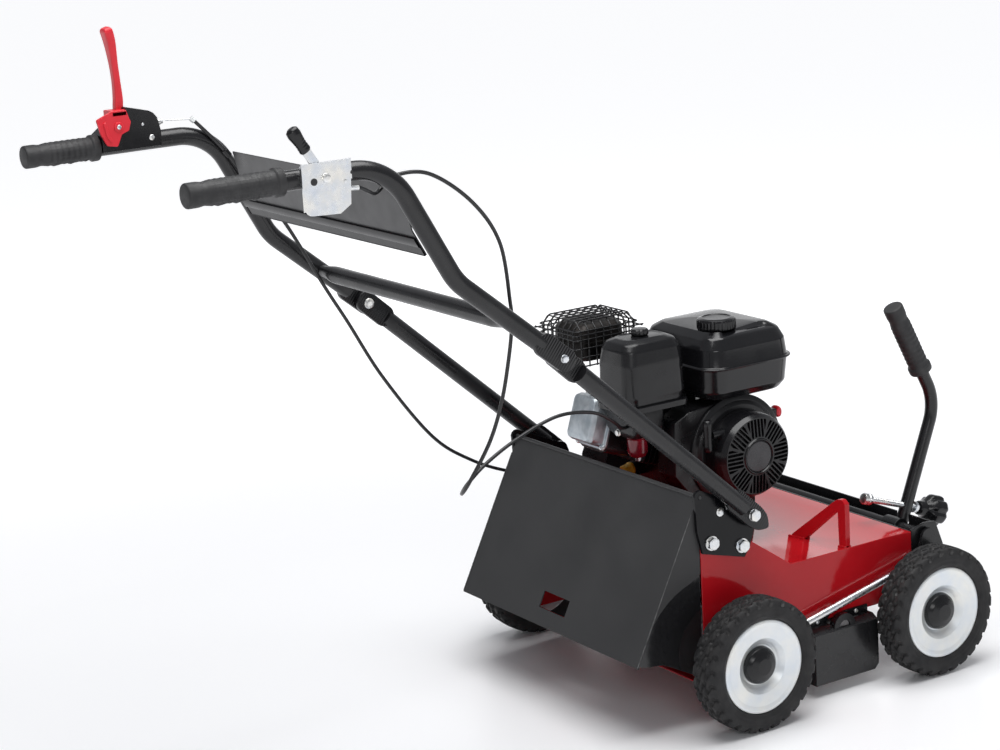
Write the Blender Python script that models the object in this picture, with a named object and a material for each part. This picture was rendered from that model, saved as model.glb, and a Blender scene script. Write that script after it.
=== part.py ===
# Petrol lawn aerator: wheeled red deck with a bladed rotor, side-shaft engine and folding handles.
# Frame: X to the machine's right, Y forward, Z up. Builders below count Y from the rear wheels' axle;
# the whole machine hangs on one empty that puts the middle of its length on the origin.
import math

import bmesh
import bpy
import numpy as np
from mathutils import Vector

# Places along the machine
REAR_AXLE_Y = 0.169
WHEELBASE = 0.349

# Fits
GAP = 0.0003
RUNNING_GAP = 0.0004
PIN_PLAY = 0.0007
BELT_SEAT = 0.0005

# Wheels
WHEEL_RADIUS = 0.100
TYRE_WIDTH = 0.050
TRACK_HALF = 0.315
DISC_RADIUS = 0.0705
LUG_DEPTH = 0.0035
LUGS = 18
AXLE_RADIUS = 0.006

# Deck
SHEET = 0.002
WHEEL_CLEARANCE = 0.029
DECK_HALF = TRACK_HALF - TYRE_WIDTH - WHEEL_CLEARANCE
DECK_REAR_Y = -0.050
DECK_FRONT_Y = 0.353
FRONT_FOLD_Y = 0.320
FRONT_DROP = 0.0022
DECK_BOTTOM_Z = 0.110
SILL_Z = 0.060
TOP_Z = 0.2126
PLATEAU_Z = 0.309
SLOPE_FOOT_Y = 0.116
SLOPE_ANGLE = 35.0

# Rotor and belt drive
ROTOR_Y = 0.198
ROTOR_Z = 0.100
BLADE_RADIUS = 0.086
BLADE_COUNT = 13
BLADE_THICKNESS = 0.003
HUB_RADIUS = 0.017
SHAFT_RADIUS = 0.010
BELT_INSET = 0.033
BELT_X = BELT_INSET - DECK_HALF
BELT_WIDTH = 0.010
BELT_THICKNESS = 0.007
DRIVE_PULLEY_RADIUS = 0.034
ROTOR_PULLEY_RADIUS = 0.030
IDLER_RADIUS = 0.016
IDLER_OPEN = 0.010

# Engine
ENGINE_BASE_Z = 0.245
CRANK_HEIGHT = 0.106
CRANK_Y = 0.146
CASE_LEFT_X = -0.110
CASE_RIGHT_X = 0.030
CYLINDER_X = -0.040
HEAD_X = -0.058
HEAD_HALF = 0.0365
CYLINDER_TILT = 18.0
FIN_COUNT = 7
FIN_PITCH = 0.009
BLOWER_RADIUS = 0.0845
BLOWER_DEPTH = 0.055
RECOIL_RADIUS = 0.066
RECOIL_DEPTH = 0.047
RECOIL_WALL = 0.0028
SWITCH_REACH = 0.016
STARTER_GRIP = (0.105, 0.0705, 0.392)
TANK_X = 0.010
TANK_Y = 0.1625
TANK_SIZE = (0.190, 0.165)
TANK_BOTTOM_Z = 0.436
TANK_HEIGHT = 0.109
CAP_RADIUS = 0.030
CARB_END_X = 0.0413
CLEANER_SIZE = (0.087, 0.112, 0.108)
CLEANER_CORNER = (-0.012, -0.050, 0.440)
MUFFLER_SIZE = (0.085, 0.098, 0.060)
MUFFLER_CORNER = (-0.150, -0.040, 0.492)
CAGE_MARGIN = 0.008
CAGE_WIRE = 0.0026

# Handles
TUBE_RADIUS = 0.013
BRACKET_SHEET = 0.005
STRUT_PLAY = 0.0017
STRUT_X = DECK_HALF + GAP + BRACKET_SHEET + STRUT_PLAY + TUBE_RADIUS
GRIP_X = STRUT_X + 0.001
GRIP_END_Y = -0.821
GRIP_Z = 0.897
GRIP_LENGTH = 0.132
LEFT_GRIP_LENGTH = 0.110
GRIP_RADIUS = 0.0162
GRIP_CAP = 0.003
CONSOLE_LINE = ((-0.5142, 0.8685), (-0.4999, 0.8059), (-0.4814, 0.7712))
UPPER_BEND = (-0.5354, 0.897)
LOWER_BEND = (-0.4477, 0.7329)
BEND_RADIUS = 0.085
UPPER_FOLD = (STRUT_X + 0.008, -0.293, 0.604)
LOWER_FOLD = (STRUT_X, 0.030, 0.312)
KNUCKLE_RADIUS = 0.020
KNUCKLE_WIDTH = 0.010
FOLD_BOLT_RADIUS = 0.004
PLATE_THICKNESS = 0.002

# Height lever and wheel linkage
FRONT_PIVOT = (0.3815, 0.198)
REAR_PIVOT = (0.050, 0.131)
FRONT_ROD_EYE = (0.3765, 0.172)
REAR_ROD_EYE = (0.045, 0.103)
CROSS_TUBE_RADIUS = 0.010
ARM_THICKNESS = 0.005
ROD_RADIUS = 0.006
LEVER_X = 0.165
LEVER_RADIUS = 0.010
LEVER_LEAN = 21.9
LEVER_OFFSET = 0.0139
LEVER_BEND_Z = 0.3835
LEVER_BEND_RADIUS = 0.075
LEVER_TOP = (0.3897, 0.5447)
LEVER_GRIP_LENGTH = 0.122
LEVER_GRIP_RADIUS = 0.0158
SCREW_CROSSING = 0.0350
SCREW_RADIUS = 0.005
SCREW_TILT = 19.0
KNOB_RADIUS = 0.0245
KNOB_REACH = 0.0246

# Rear flap
FLAP_HINGE = (-0.051, 0.351)
FLAP_HEIGHT = 0.262
FLAP_LEAN = 27.2
HINGE_PIN_RADIUS = 0.003

# Front channel
CHANNEL_FRONT_Y = 0.402
CHANNEL_FLOOR_Z = 0.150
CHANNEL_TOP_Z = 0.216
CHANNEL_SHEET = 0.003
LEVER_NOTCH_Z = 0.182

# Side guards
GUARD_REAR_Y = 0.137
GUARD_FRONT_Y = 0.260
GUARD_BOTTOM_Z = 0.020
GUARD_TO_TYRE = 0.0032
GUARD_WIDTH = WHEEL_CLEARANCE - GAP - GUARD_TO_TYRE
GUARD_WALL = 0.003
GUARD_DRAFT = 0.012
GUARD_SHOULDER = 0.007
FLANGE_RISE = 0.007
EYE_RADIUS = 0.007

CRANK_Z = ENGINE_BASE_Z + CRANK_HEIGHT
WHEEL_MIDDLE_X = TRACK_HALF - TYRE_WIDTH / 2
COLOURS = {
    "red_paint": ((0.42, 0.012, 0.014), 0.22, 0.0),
    "black_paint": ((0.012, 0.012, 0.013), 0.38, 0.0),
    "engine_black": ((0.010, 0.010, 0.011), 0.45, 0.0),
    "flap_grey": ((0.050, 0.050, 0.052), 0.5, 0.0),
    "rubber": ((0.020, 0.020, 0.021), 0.75, 0.0),
    "zinc": ((0.72, 0.74, 0.77), 0.3, 1.0),
    "aluminium": ((0.60, 0.62, 0.65), 0.42, 1.0),
    "wheel_zinc": ((0.78, 0.80, 0.84), 0.35, 0.7),
    "red_plastic": ((0.62, 0.020, 0.025), 0.4, 0.0),
    "yellow_plastic": ((0.80, 0.50, 0.02), 0.45, 0.0),
    "dark_steel": ((0.10, 0.10, 0.11), 0.5, 1.0),
}


def clear_scene():
    """Remove whatever the file holds."""
    for old in list(bpy.data.objects):
        bpy.data.objects.remove(old, do_unlink=True)


def material(name):
    """Principled material with the part's colour, roughness and metallic value."""
    found = bpy.data.materials.get(name)
    if found:
        return found
    colour, roughness, metallic = COLOURS[name]
    made = bpy.data.materials.new(name)
    made.use_nodes = True
    shader = made.node_tree.nodes["Principled BSDF"]
    shader.inputs["Base Color"].default_value = (*colour, 1.0)
    shader.inputs["Roughness"].default_value = roughness
    shader.inputs["Metallic"].default_value = metallic
    return made


def mesh_object(name, vertices, faces):
    """Closed mesh as an object at the origin, faces turned outwards."""
    mesh = bpy.data.meshes.new(name)
    mesh.from_pydata([tuple(map(float, v)) for v in vertices], [], [list(map(int, f)) for f in faces])
    work = bmesh.new()
    work.from_mesh(mesh)
    bmesh.ops.remove_doubles(work, verts=work.verts, dist=1e-6)
    bmesh.ops.recalc_face_normals(work, faces=work.faces)
    work.to_mesh(mesh)
    work.free()
    made = bpy.data.objects.new(name, mesh)
    bpy.context.scene.collection.objects.link(made)
    return made


def on_axis(axis, along, u, v):
    """Point with the given place along an axis and (u, v) on the other two, in X, Y, Z order."""
    if axis == "x":
        return (along, u, v)
    if axis == "y":
        return (u, along, v)
    return (u, v, along)


def prism(name, outline, axis, low, high):
    """Outline of (u, v) points drawn out along an axis from low to high."""
    count = len(outline)
    vertices = [on_axis(axis, low, u, v) for u, v in outline]
    vertices += [on_axis(axis, high, u, v) for u, v in outline]
    faces = [list(range(count)), list(range(count, 2 * count))]
    for i in range(count):
        j = (i + 1) % count
        faces.append([i, j, count + j, count + i])
    return mesh_object(name, vertices, faces)


def block(name, low, high):
    """Box between two corners."""
    outline = [(low[0], low[1]), (high[0], low[1]), (high[0], high[1]), (low[0], high[1])]
    return prism(name, outline, "z", low[2], high[2])


def arc(centre, radius, start, end, steps):
    """Points on a circle between two angles in degrees, both ends included."""
    angles = np.radians(np.linspace(start, end, steps + 1))
    return [(centre[0] + radius * math.cos(a), centre[1] + radius * math.sin(a)) for a in angles]


def rounded_rectangle(centre, half, radius, steps=3):
    """Outline of a rectangle with round corners."""
    points = []
    for sign_u, sign_v, start in ((1, 1, 0), (-1, 1, 90), (-1, -1, 180), (1, -1, 270)):
        corner = (centre[0] + sign_u * (half[0] - radius), centre[1] + sign_v * (half[1] - radius))
        points += arc(corner, radius, start, start + 90, steps)
    return points


def loft(name, rings):
    """Closed body through rings of equal point count, capped at both ends."""
    count = len(rings[0])
    vertices = [p for ring in rings for p in ring]
    faces = [list(range(count)), list(range((len(rings) - 1) * count, len(rings) * count))]
    for k in range(len(rings) - 1):
        for i in range(count):
            j = (i + 1) % count
            faces.append([k * count + i, k * count + j, (k + 1) * count + j, (k + 1) * count + i])
    return mesh_object(name, vertices, faces)


def revolve(name, profile, axis, centre, steps, ring=False, radius_of=None):
    """Turn a profile of (radius, along) points about an axis line through centre (u, v).

    A ring profile is a loop clear of the axis; any other profile starts and ends on the axis.
    radius_of(point, step) may give another radius to a point at a step.
    """
    vertices = []
    for step in range(steps):
        angle = 2 * math.pi * step / steps
        for index, (radius, along) in enumerate(profile):
            if radius_of:
                radius = radius_of(index, step)
            u = centre[0] + radius * math.cos(angle)
            v = centre[1] + radius * math.sin(angle)
            vertices.append(on_axis(axis, along, u, v))
    count = len(profile)
    spans = count if ring else count - 1
    faces = []
    for step in range(steps):
        after = (step + 1) % steps
        for i in range(spans):
            j = (i + 1) % count
            face = [step * count + i, step * count + j, after * count + j, after * count + i]
            if not ring and profile[i][0] == 0:
                face = [step * count + i, step * count + j, after * count + j]
            elif not ring and profile[j][0] == 0:
                face = [step * count + i, step * count + j, after * count + i]
            faces.append(face)
    return mesh_object(name, vertices, faces)


def cylinder(name, axis, centre, radius, low, high, steps=16):
    """Plain round bar along an axis, its middle line through centre (u, v)."""
    return prism(name, arc(centre, radius, 0, 360 - 360 / steps, steps - 1), axis, low, high)


def rounded_path(corners, radius, steps=5):
    """Polyline whose inner corners are circular arcs of the given radius."""
    corners = [Vector(c) for c in corners]
    path = [corners[0]]
    for before, corner, after in zip(corners, corners[1:], corners[2:]):
        back = (before - corner).normalized()
        ahead = (after - corner).normalized()
        turn = math.pi - back.angle(ahead)
        reach = radius * math.tan(turn / 2)
        middle = corner + (back + ahead).normalized() * (radius / math.cos(turn / 2))
        start = corner + back * reach - middle
        normal = start.cross(corner + ahead * reach - middle).normalized()
        side = normal.cross(start)
        for k in range(steps + 1):
            angle = turn * k / steps
            path.append(middle + start * math.cos(angle) + side * math.sin(angle))
    path.append(corners[-1])
    return path


def tube(name, path, radius, sides=12):
    """Round bar swept along a path, with flat ends."""
    path = [Vector(p) for p in path]
    rings = []
    normal = None
    for k, point in enumerate(path):
        behind = path[max(k - 1, 0)]
        ahead = path[min(k + 1, len(path) - 1)]
        along = ((ahead - point).normalized() + (point - behind).normalized()).normalized()
        if normal is None:
            normal = along.orthogonal().normalized()
        normal = (normal - along * normal.dot(along)).normalized()
        side = along.cross(normal)
        ring = []
        for s in range(sides):
            angle = 2 * math.pi * s / sides
            ring.append(tuple(point + (normal * math.cos(angle) + side * math.sin(angle)) * radius))
        rings.append(ring)
    return loft(name, rings)


def combine(target, tools, operation="UNION"):
    """Boolean of several bodies into the target, applied, the tools removed."""
    for tool in tools:
        step = target.modifiers.new("combine", "BOOLEAN")
        step.operation = operation
        step.object = tool
        step.solver = "EXACT"
        evaluated = target.evaluated_get(bpy.context.evaluated_depsgraph_get())
        mesh = bpy.data.meshes.new_from_object(evaluated)
        target.modifiers.clear()
        target.data = mesh
        bpy.data.objects.remove(tool)
    return target


def cut(target, tools):
    """Take the tools away from the target."""
    return combine(target, tools, "DIFFERENCE")


def place(made, surface, pivot=(0, 0, 0), smooth=35):
    """Give a finished piece its material and its origin on the pivot, and hang it on the machine."""
    shift = Vector(pivot)
    for vertex in made.data.vertices:
        vertex.co -= shift
    made.data.materials.clear()
    made.data.materials.append(material(surface))
    made.data.shade_smooth()
    made.data.set_sharp_from_angle(angle=math.radians(smooth))
    made.location = shift
    made.parent = MACHINE
    return made


def mirror_x(points):
    """The same points on the machine's other side."""
    return [(-x, y, z) for x, y, z in points]


def slope_z(y):
    """Height of the deck's top at a place along the machine."""
    rise = (SLOPE_FOOT_Y - y) * math.tan(math.radians(SLOPE_ANGLE))
    return min(TOP_Z + max(rise, 0.0), PLATEAU_Z)


def build_deck():
    """Pressed deck: side walls, front wall, sloped top, open below and behind, with a belt slot."""
    plateau_y = SLOPE_FOOT_Y - (PLATEAU_Z - TOP_Z) / math.tan(math.radians(SLOPE_ANGLE))
    foot_y = 0.105
    outer = [(DECK_REAR_Y, SILL_Z), (foot_y, SILL_Z), (foot_y + 0.02, DECK_BOTTOM_Z),
             (DECK_FRONT_Y, DECK_BOTTOM_Z), (DECK_FRONT_Y, TOP_Z - FRONT_DROP), (FRONT_FOLD_Y, TOP_Z),
             (SLOPE_FOOT_Y, TOP_Z), (plateau_y, PLATEAU_Z), (DECK_REAR_Y, PLATEAU_Z)]
    shell = prism("deck_shell", outer, "x", -DECK_HALF, DECK_HALF)
    drop = SHEET * math.tan(math.radians(SLOPE_ANGLE / 2))
    inner = [(DECK_REAR_Y - 0.02, SILL_Z - 0.02), (DECK_FRONT_Y - SHEET, SILL_Z - 0.02),
             (DECK_FRONT_Y - SHEET, TOP_Z - FRONT_DROP - SHEET), (FRONT_FOLD_Y, TOP_Z - SHEET),
             (SLOPE_FOOT_Y - drop, TOP_Z - SHEET), (plateau_y - drop, PLATEAU_Z - SHEET),
             (DECK_REAR_Y - 0.02, PLATEAU_Z - SHEET)]
    cut(shell, [prism("inside", inner, "x", -DECK_HALF + SHEET, DECK_HALF - SHEET)])
    upstand_top = FLAP_HINGE[1] - HINGE_PIN_RADIUS - 0.004
    half = DECK_HALF - SHEET / 2
    upstand = block("upstand", (-half, DECK_REAR_Y, PLATEAU_Z - SHEET),
                    (half, DECK_REAR_Y + SHEET, upstand_top))
    sill = block("sill", (-half, DECK_REAR_Y, SILL_Z), (half, DECK_REAR_Y + 0.018, SILL_Z + SHEET))
    wall_x = bearing_wall_x()
    partition = block("partition", (wall_x, ROTOR_Y - 0.098, DECK_BOTTOM_Z + GAP),
                      (wall_x + GUARD_WALL, ROTOR_Y + 0.104, TOP_Z - SHEET / 2))
    combine(shell, [upstand, sill, partition])
    slot_rear = cover_rear_y() + 0.005
    slot = block("slot", (BELT_X - BELT_WIDTH / 2 - 0.010, slot_rear, TOP_Z - 0.01),
                 (BELT_X + BELT_WIDTH / 2 + 0.013, strand_y(TOP_Z, 1) + 0.012, slope_z(slot_rear) + 0.01))
    axle_hole = cylinder("hole", "x", REAR_PIVOT, CROSS_TUBE_RADIUS + RUNNING_GAP,
                         -DECK_HALF - 0.01, DECK_HALF + 0.01, 20)
    cut(shell, [slot, axle_hole])
    place(shell, "red_paint")


def bearing_wall_x():
    """Left face of the wall between the rotor and the belt."""
    return BELT_X + BELT_WIDTH / 2 + 0.022


def belt_direction():
    """Unit vector from the engine's pulley to the rotor's pulley, and the rearward normal."""
    run = Vector((ROTOR_Y - CRANK_Y, ROTOR_Z - CRANK_Z)).normalized()
    return run, Vector((run.y, -run.x)) if run.y < 0 else Vector((-run.y, run.x))


def strand_y(z, side):
    """Where the belt's rear (-1) or front (1) strand passes a height, on its outer face."""
    run, normal = belt_direction()
    reach = (z - CRANK_Z) / run.y
    radius = DRIVE_PULLEY_RADIUS + (ROTOR_PULLEY_RADIUS - DRIVE_PULLEY_RADIUS) * 0.5 + BELT_THICKNESS
    return CRANK_Y + run.x * reach + side * radius / abs(run.y)


def build_belt_drive():
    """Engine shaft with its pulley, rotor pulley, belt and the clutch's idler."""
    half = BELT_WIDTH / 2
    flange = half + 0.003

    def pulley(name, centre, radius):
        profile = [(0, BELT_X + flange), (radius + BELT_THICKNESS * 0.6, BELT_X + flange),
                   (radius + BELT_THICKNESS * 0.6, BELT_X + half + 0.0014),
                   (radius - BELT_SEAT, BELT_X + half), (radius - BELT_SEAT, BELT_X - half),
                   (radius + BELT_THICKNESS * 0.6, BELT_X - half - 0.0014),
                   (radius + BELT_THICKNESS * 0.6, BELT_X - flange), (0, BELT_X - flange)]
        return revolve(name, profile, "x", centre, 18)

    drive = pulley("drive_pulley", (CRANK_Y, CRANK_Z), DRIVE_PULLEY_RADIUS)
    shaft = cylinder("shaft", "x", (CRANK_Y, CRANK_Z), SHAFT_RADIUS,
                     BELT_X - flange - 0.004, CASE_LEFT_X + 0.015, 16)
    combine(drive, [shaft])
    place(drive, "dark_steel", (BELT_X, CRANK_Y, CRANK_Z))

    driven = pulley("rotor_pulley", (ROTOR_Y, ROTOR_Z), ROTOR_PULLEY_RADIUS)
    bore = cylinder("bore", "x", (ROTOR_Y, ROTOR_Z), SHAFT_RADIUS + GAP, BELT_X - 0.03, BELT_X + 0.03, 16)
    cut(driven, [bore])
    place(driven, "dark_steel", (BELT_X, ROTOR_Y, ROTOR_Z))

    run, normal = belt_direction()
    lead = math.degrees(math.atan2(normal.y, normal.x))
    loops = []
    for extra in (BELT_THICKNESS, 0.0):
        turn = arc((CRANK_Y, CRANK_Z), DRIVE_PULLEY_RADIUS + extra, lead - 180, lead, 14)
        back = arc((ROTOR_Y, ROTOR_Z), ROTOR_PULLEY_RADIUS + extra, lead, lead + 180, 14)
        loops.append(turn + back)
    belt = prism("drive_belt", loops[0], "x", BELT_X - half, BELT_X + half)
    cut(belt, [prism("loop", loops[1], "x", BELT_X - half - 0.01, BELT_X + half + 0.01)])
    place(belt, "rubber")

    centre = idler_centre()
    idler = pulley("idler_pulley", centre, IDLER_RADIUS)
    cut(idler, [cylinder("bore", "x", centre, 0.005 + RUNNING_GAP, BELT_X - 0.02, BELT_X + 0.02, 12)])
    place(idler, "dark_steel", (BELT_X, *centre))

    pivot = idler_pivot()
    side = BELT_X + flange + GAP
    arm = prism("idler_arm", capsule(pivot, centre, 0.009), "x", side, side + 0.003)
    axle = cylinder("axle", "x", centre, 0.005, BELT_X - flange, side + 0.002, 12)
    combine(arm, [axle])
    cut(arm, [cylinder("bore", "x", pivot, 0.004 + RUNNING_GAP, side - 0.01, side + 0.01, 12)])
    place(arm, "zinc", (side, *pivot))


def capsule(start, end, radius, steps=8):
    """Outline of a flat bar with round ends between two points."""
    lead = math.degrees(math.atan2(end[1] - start[1], end[0] - start[0]))
    return arc(end, radius, lead - 90, lead + 90, steps) + arc(start, radius, lead + 90, lead + 270, steps)


def idler_centre():
    """Idler's axis at rest, clear of the belt's rear strand by the clutch's free travel."""
    run, normal = belt_direction()
    reach = 0.098
    radius = DRIVE_PULLEY_RADIUS * 0.62 + ROTOR_PULLEY_RADIUS * 0.38
    off = radius + BELT_THICKNESS * 1.6 + IDLER_RADIUS + IDLER_OPEN
    return (CRANK_Y + run.x * reach + normal.x * off, CRANK_Z + run.y * reach + normal.y * off)


def idler_pivot():
    """Idler arm's pin on the belt cover."""
    centre = idler_centre()
    return (centre[0] + 0.002, centre[1] + 0.044)


def cover_rear_y():
    """Rear wall of the belt cover, behind the idler."""
    return idler_centre()[0] - IDLER_RADIUS - 0.014


def build_belt_cover():
    """Shell over the belt, open below towards the deck, with the idler's pin and the cable's boss."""
    left = -DECK_HALF + 0.004
    right = bearing_wall_x() + 0.012
    rear = cover_rear_y()
    front = strand_y(TOP_Z, 1) + 0.030
    crown = DRIVE_PULLEY_RADIUS + BELT_THICKNESS + 0.010
    base = TOP_Z + GAP

    def outline(inset, floor):
        top = arc((CRANK_Y, CRANK_Z), crown - inset, -20, 160, 10)
        shoulder = (rear + inset, idler_pivot()[1] + 0.014 - inset)
        return [(rear + inset, floor), (front - inset, floor)] + top + [shoulder]

    cover = prism("belt_cover", outline(0, base), "x", left, right)
    hollow = prism("hollow", outline(0.0025, base - 0.02), "x", left + 0.0025, right - 0.0025)
    cut(cover, [hollow])
    rise = math.tan(math.radians(SLOPE_ANGLE))
    start = SLOPE_FOOT_Y + GAP * 2
    wedge = [(start - 0.2, TOP_Z + 0.2 * rise), (start - 0.2, base - 0.05), (start + 0.001, base - 0.05),
             (start + 0.001, TOP_Z)]
    cut(cover, [prism("wedge", wedge, "x", left - 0.01, right + 0.01),
                cylinder("shaft_hole", "x", (CRANK_Y, CRANK_Z), SHAFT_RADIUS + 0.003,
                         right - 0.02, right + 0.02, 16)])
    pivot = idler_pivot()
    arm_side = BELT_X + BELT_WIDTH / 2 + 0.003 + GAP
    pin = cylinder("pin", "x", pivot, 0.004, arm_side - 0.001, right - 0.001, 12)
    collar = cylinder("collar", "x", pivot, 0.007, arm_side + 0.003 + GAP, right - 0.001, 12)
    boss = cylinder("boss", "x", CABLE_BOSS, 0.006, left - 0.004, left + 0.001, 12)
    combine(cover, [collar, pin, boss])
    place(cover, "black_paint")


def build_rotor():
    """Blade rotor: hub tube on its shaft, carrying star blades in a spiral."""
    left = bearing_wall_x() + GUARD_WALL + 0.006
    right = DECK_HALF - SHEET - 0.010
    shaft_left = BELT_X - BELT_WIDTH / 2 - 0.006
    shaft_right = DECK_HALF + GUARD_WIDTH - GUARD_WALL - 0.002
    profile = [(0, shaft_left), (SHAFT_RADIUS, shaft_left), (SHAFT_RADIUS, left), (HUB_RADIUS, left),
               (HUB_RADIUS, right), (SHAFT_RADIUS, right), (SHAFT_RADIUS, shaft_right), (0, shaft_right)]
    rotor = revolve("rotor", profile, "x", (ROTOR_Y, ROTOR_Z), 16)
    blades = []
    pitch = (right - left - 0.010) / BLADE_COUNT
    for k in range(BLADE_COUNT):
        start = left + 0.005 + pitch * (k + 0.5)
        turn = 67.5 * k
        outline = []
        for tooth in range(3):
            base = turn + 120 * tooth
            for lead, reach in ((-24, 0.36), (0, 1.0), (11, 0.97), (20, 0.50)):
                angle = math.radians(base + lead)
                outline.append((ROTOR_Y + BLADE_RADIUS * reach * math.cos(angle),
                                ROTOR_Z + BLADE_RADIUS * reach * math.sin(angle)))
        blades.append(prism("blade", outline, "x", start, start + BLADE_THICKNESS))
    combine(rotor, blades)
    place(rotor, "dark_steel", (0, ROTOR_Y, ROTOR_Z))


def build_bearing(name, middle_x):
    """Ball bearing as one ring about the rotor's shaft."""
    inner = SHAFT_RADIUS + RUNNING_GAP
    outer = 0.021
    half = 0.006
    profile = [(inner, middle_x - half), (outer, middle_x - half), (outer, middle_x + half),
               (inner, middle_x + half)]
    place(revolve(name, profile, "x", (ROTOR_Y, ROTOR_Z), 20, ring=True), "zinc")


def build_guards():
    """Cast side guards under the deck: the right one holds the bearing, the left one the belt's end."""
    seat = 0.021 + GAP
    low_x = DECK_HALF + GAP
    high_x = low_x + GUARD_WIDTH
    top = DECK_BOTTOM_Z - 0.004
    bearing_x = high_x - GUARD_WALL - GAP - 0.006
    right = guard_box("side_guard_right", low_x, high_x, top)
    boss = cylinder("boss", "x", (ROTOR_Y, ROTOR_Z), seat + 0.004, low_x + 0.004, high_x - 0.001, 20)
    trim = block("trim", (low_x - 0.01, ROTOR_Y - 0.05, top), (high_x + 0.01, ROTOR_Y + 0.05, top + 0.05))
    cut(boss, [trim])
    combine(right, [boss])
    socket = cylinder("socket", "x", (ROTOR_Y, ROTOR_Z), seat, low_x - 0.01, bearing_x + 0.006 + GAP, 20)
    cut(right, [shoulder_trim(high_x, -1, top)])
    combine(right, [guard_flange(low_x, 1)])
    cut(right, [socket])
    place(right, "black_paint")
    build_bearing("rotor_bearing_right", bearing_x)

    wall = bearing_wall_x()
    left = guard_box("side_guard_left", -high_x, wall, top, lid_x=-low_x - 0.001)
    cut(left, [shoulder_trim(-high_x, 1, top)])
    inner_boss = cylinder("boss", "x", (ROTOR_Y, ROTOR_Z), seat + 0.004, wall - 0.014, wall - 0.001, 20)
    cut(inner_boss, [block("trim", (wall - 0.03, ROTOR_Y - 0.05, top), (wall + 0.01, ROTOR_Y + 0.05, top + 0.05))])
    combine(left, [inner_boss])
    cut(left, [cylinder("socket", "x", (ROTOR_Y, ROTOR_Z), seat, wall - 0.03, wall - GUARD_WALL + 0.001, 20),
               cylinder("bore", "x", (ROTOR_Y, ROTOR_Z), SHAFT_RADIUS + 0.002, wall - 0.02, wall + 0.01, 16)])
    combine(left, [guard_flange(-low_x, -1)])
    place(left, "black_paint")
    build_bearing("rotor_bearing_left", wall - GUARD_WALL - GAP - 0.0055)


def shoulder(rim, inward, top, inset):
    """Lower and upper corner of a guard's sloped outer shoulder, moved into the metal by an inset."""
    length = math.hypot(GUARD_DRAFT, GUARD_SHOULDER)
    fall = (GUARD_SHOULDER * (GUARD_DRAFT - inset) + inset * length) / GUARD_DRAFT
    reach = GUARD_DRAFT + inset * (length - GUARD_DRAFT) / GUARD_SHOULDER
    return (rim + inward * inset, top - fall), (rim + inward * reach, top - inset)


def shoulder_trim(rim, inward, top):
    """Cutter that slopes a guard's outer top edge."""
    lower, upper = shoulder(rim, inward, top, 0.0)
    outside = rim - inward * 0.01
    corners = [lower, upper, (upper[0], top + 0.01), (outside, top + 0.01), (outside, lower[1])]
    return prism("trim", corners, "y", GUARD_REAR_Y - 0.01, GUARD_FRONT_Y + 0.01)


def guard_box(name, low_x, high_x, top, lid_x=None):
    """Cast box with a chamfered foot, hollow below its shoulder, open inwards or above from lid_x on."""
    edge = 0.008
    outline = [(GUARD_REAR_Y, GUARD_BOTTOM_Z), (GUARD_FRONT_Y - edge, GUARD_BOTTOM_Z),
               (GUARD_FRONT_Y, GUARD_BOTTOM_Z + edge), (GUARD_FRONT_Y, top), (GUARD_REAR_Y, top)]
    box = prism(name, outline, "x", low_x, high_x)
    wall = GUARD_WALL
    floor = GUARD_BOTTOM_Z + wall + edge
    if lid_x is None:
        lower, upper = shoulder(high_x, -1, top, wall)
        hollow = [(lower[0], floor), lower, upper, (low_x - 0.01, top - wall), (low_x - 0.01, floor)]
    else:
        lower, upper = shoulder(low_x, 1, top, wall)
        hollow = [(lower[0], floor), lower, upper, (lid_x, top - wall), (lid_x, top + 0.01),
                  (high_x - wall, top + 0.01), (high_x - wall, floor)]
    return cut(box, [prism("inside", hollow, "y", GUARD_REAR_Y + wall, GUARD_FRONT_Y - wall)])


def guard_flange(face_x, side):
    """Plate that bolts a guard to the outside of the deck's wall."""
    low, high = sorted((face_x, face_x + side * GUARD_WALL))
    return block("flange", (low, GUARD_REAR_Y + 0.001, DECK_BOTTOM_Z - 0.008),
                 (high, GUARD_FRONT_Y - 0.001, DECK_BOTTOM_Z + FLANGE_RISE))


def build_channel():
    """Open-topped channel in front of the deck that carries the lift shaft."""
    rear = DECK_FRONT_Y + GAP
    front = CHANNEL_FRONT_Y
    sheet = CHANNEL_SHEET
    half = DECK_HALF
    profile = [(rear, TOP_Z - 0.002), (rear, CHANNEL_FLOOR_Z), (front, CHANNEL_FLOOR_Z),
               (front, CHANNEL_TOP_Z), (front - sheet, CHANNEL_TOP_Z), (front - sheet, CHANNEL_FLOOR_Z + sheet),
               (rear + sheet, CHANNEL_FLOOR_Z + sheet), (rear + sheet, TOP_Z - 0.002)]
    channel = prism("front_channel", profile, "x", -half, half)
    ends = []
    plate = [(rear, TOP_Z), (FRONT_PIVOT[0], CHANNEL_TOP_Z + 0.003), (front + 0.001, CHANNEL_TOP_Z + 0.001)]
    plate += [(front + 0.016, CHANNEL_TOP_Z - 0.038), (front + 0.010, CHANNEL_FLOOR_Z - 0.004),
              (rear, CHANNEL_FLOOR_Z - 0.004)]
    for side in (-1, 1):
        low, high = sorted((side * (half - 0.004), side * half))
        ends.append(prism("end_plate", plate, "x", low, high))
    combine(channel, ends)
    notch_half = LEVER_RADIUS + 0.004
    notch = block("notch", (LEVER_X - notch_half, FRONT_PIVOT[0], LEVER_NOTCH_Z),
                  (LEVER_X + notch_half, front + 0.01, CHANNEL_TOP_Z + 0.01))
    hole = cylinder("hole", "x", FRONT_PIVOT, CROSS_TUBE_RADIUS + RUNNING_GAP, -half - 0.01, half + 0.01, 20)
    cut(channel, [hole, notch])
    place(channel, "black_paint")


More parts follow.
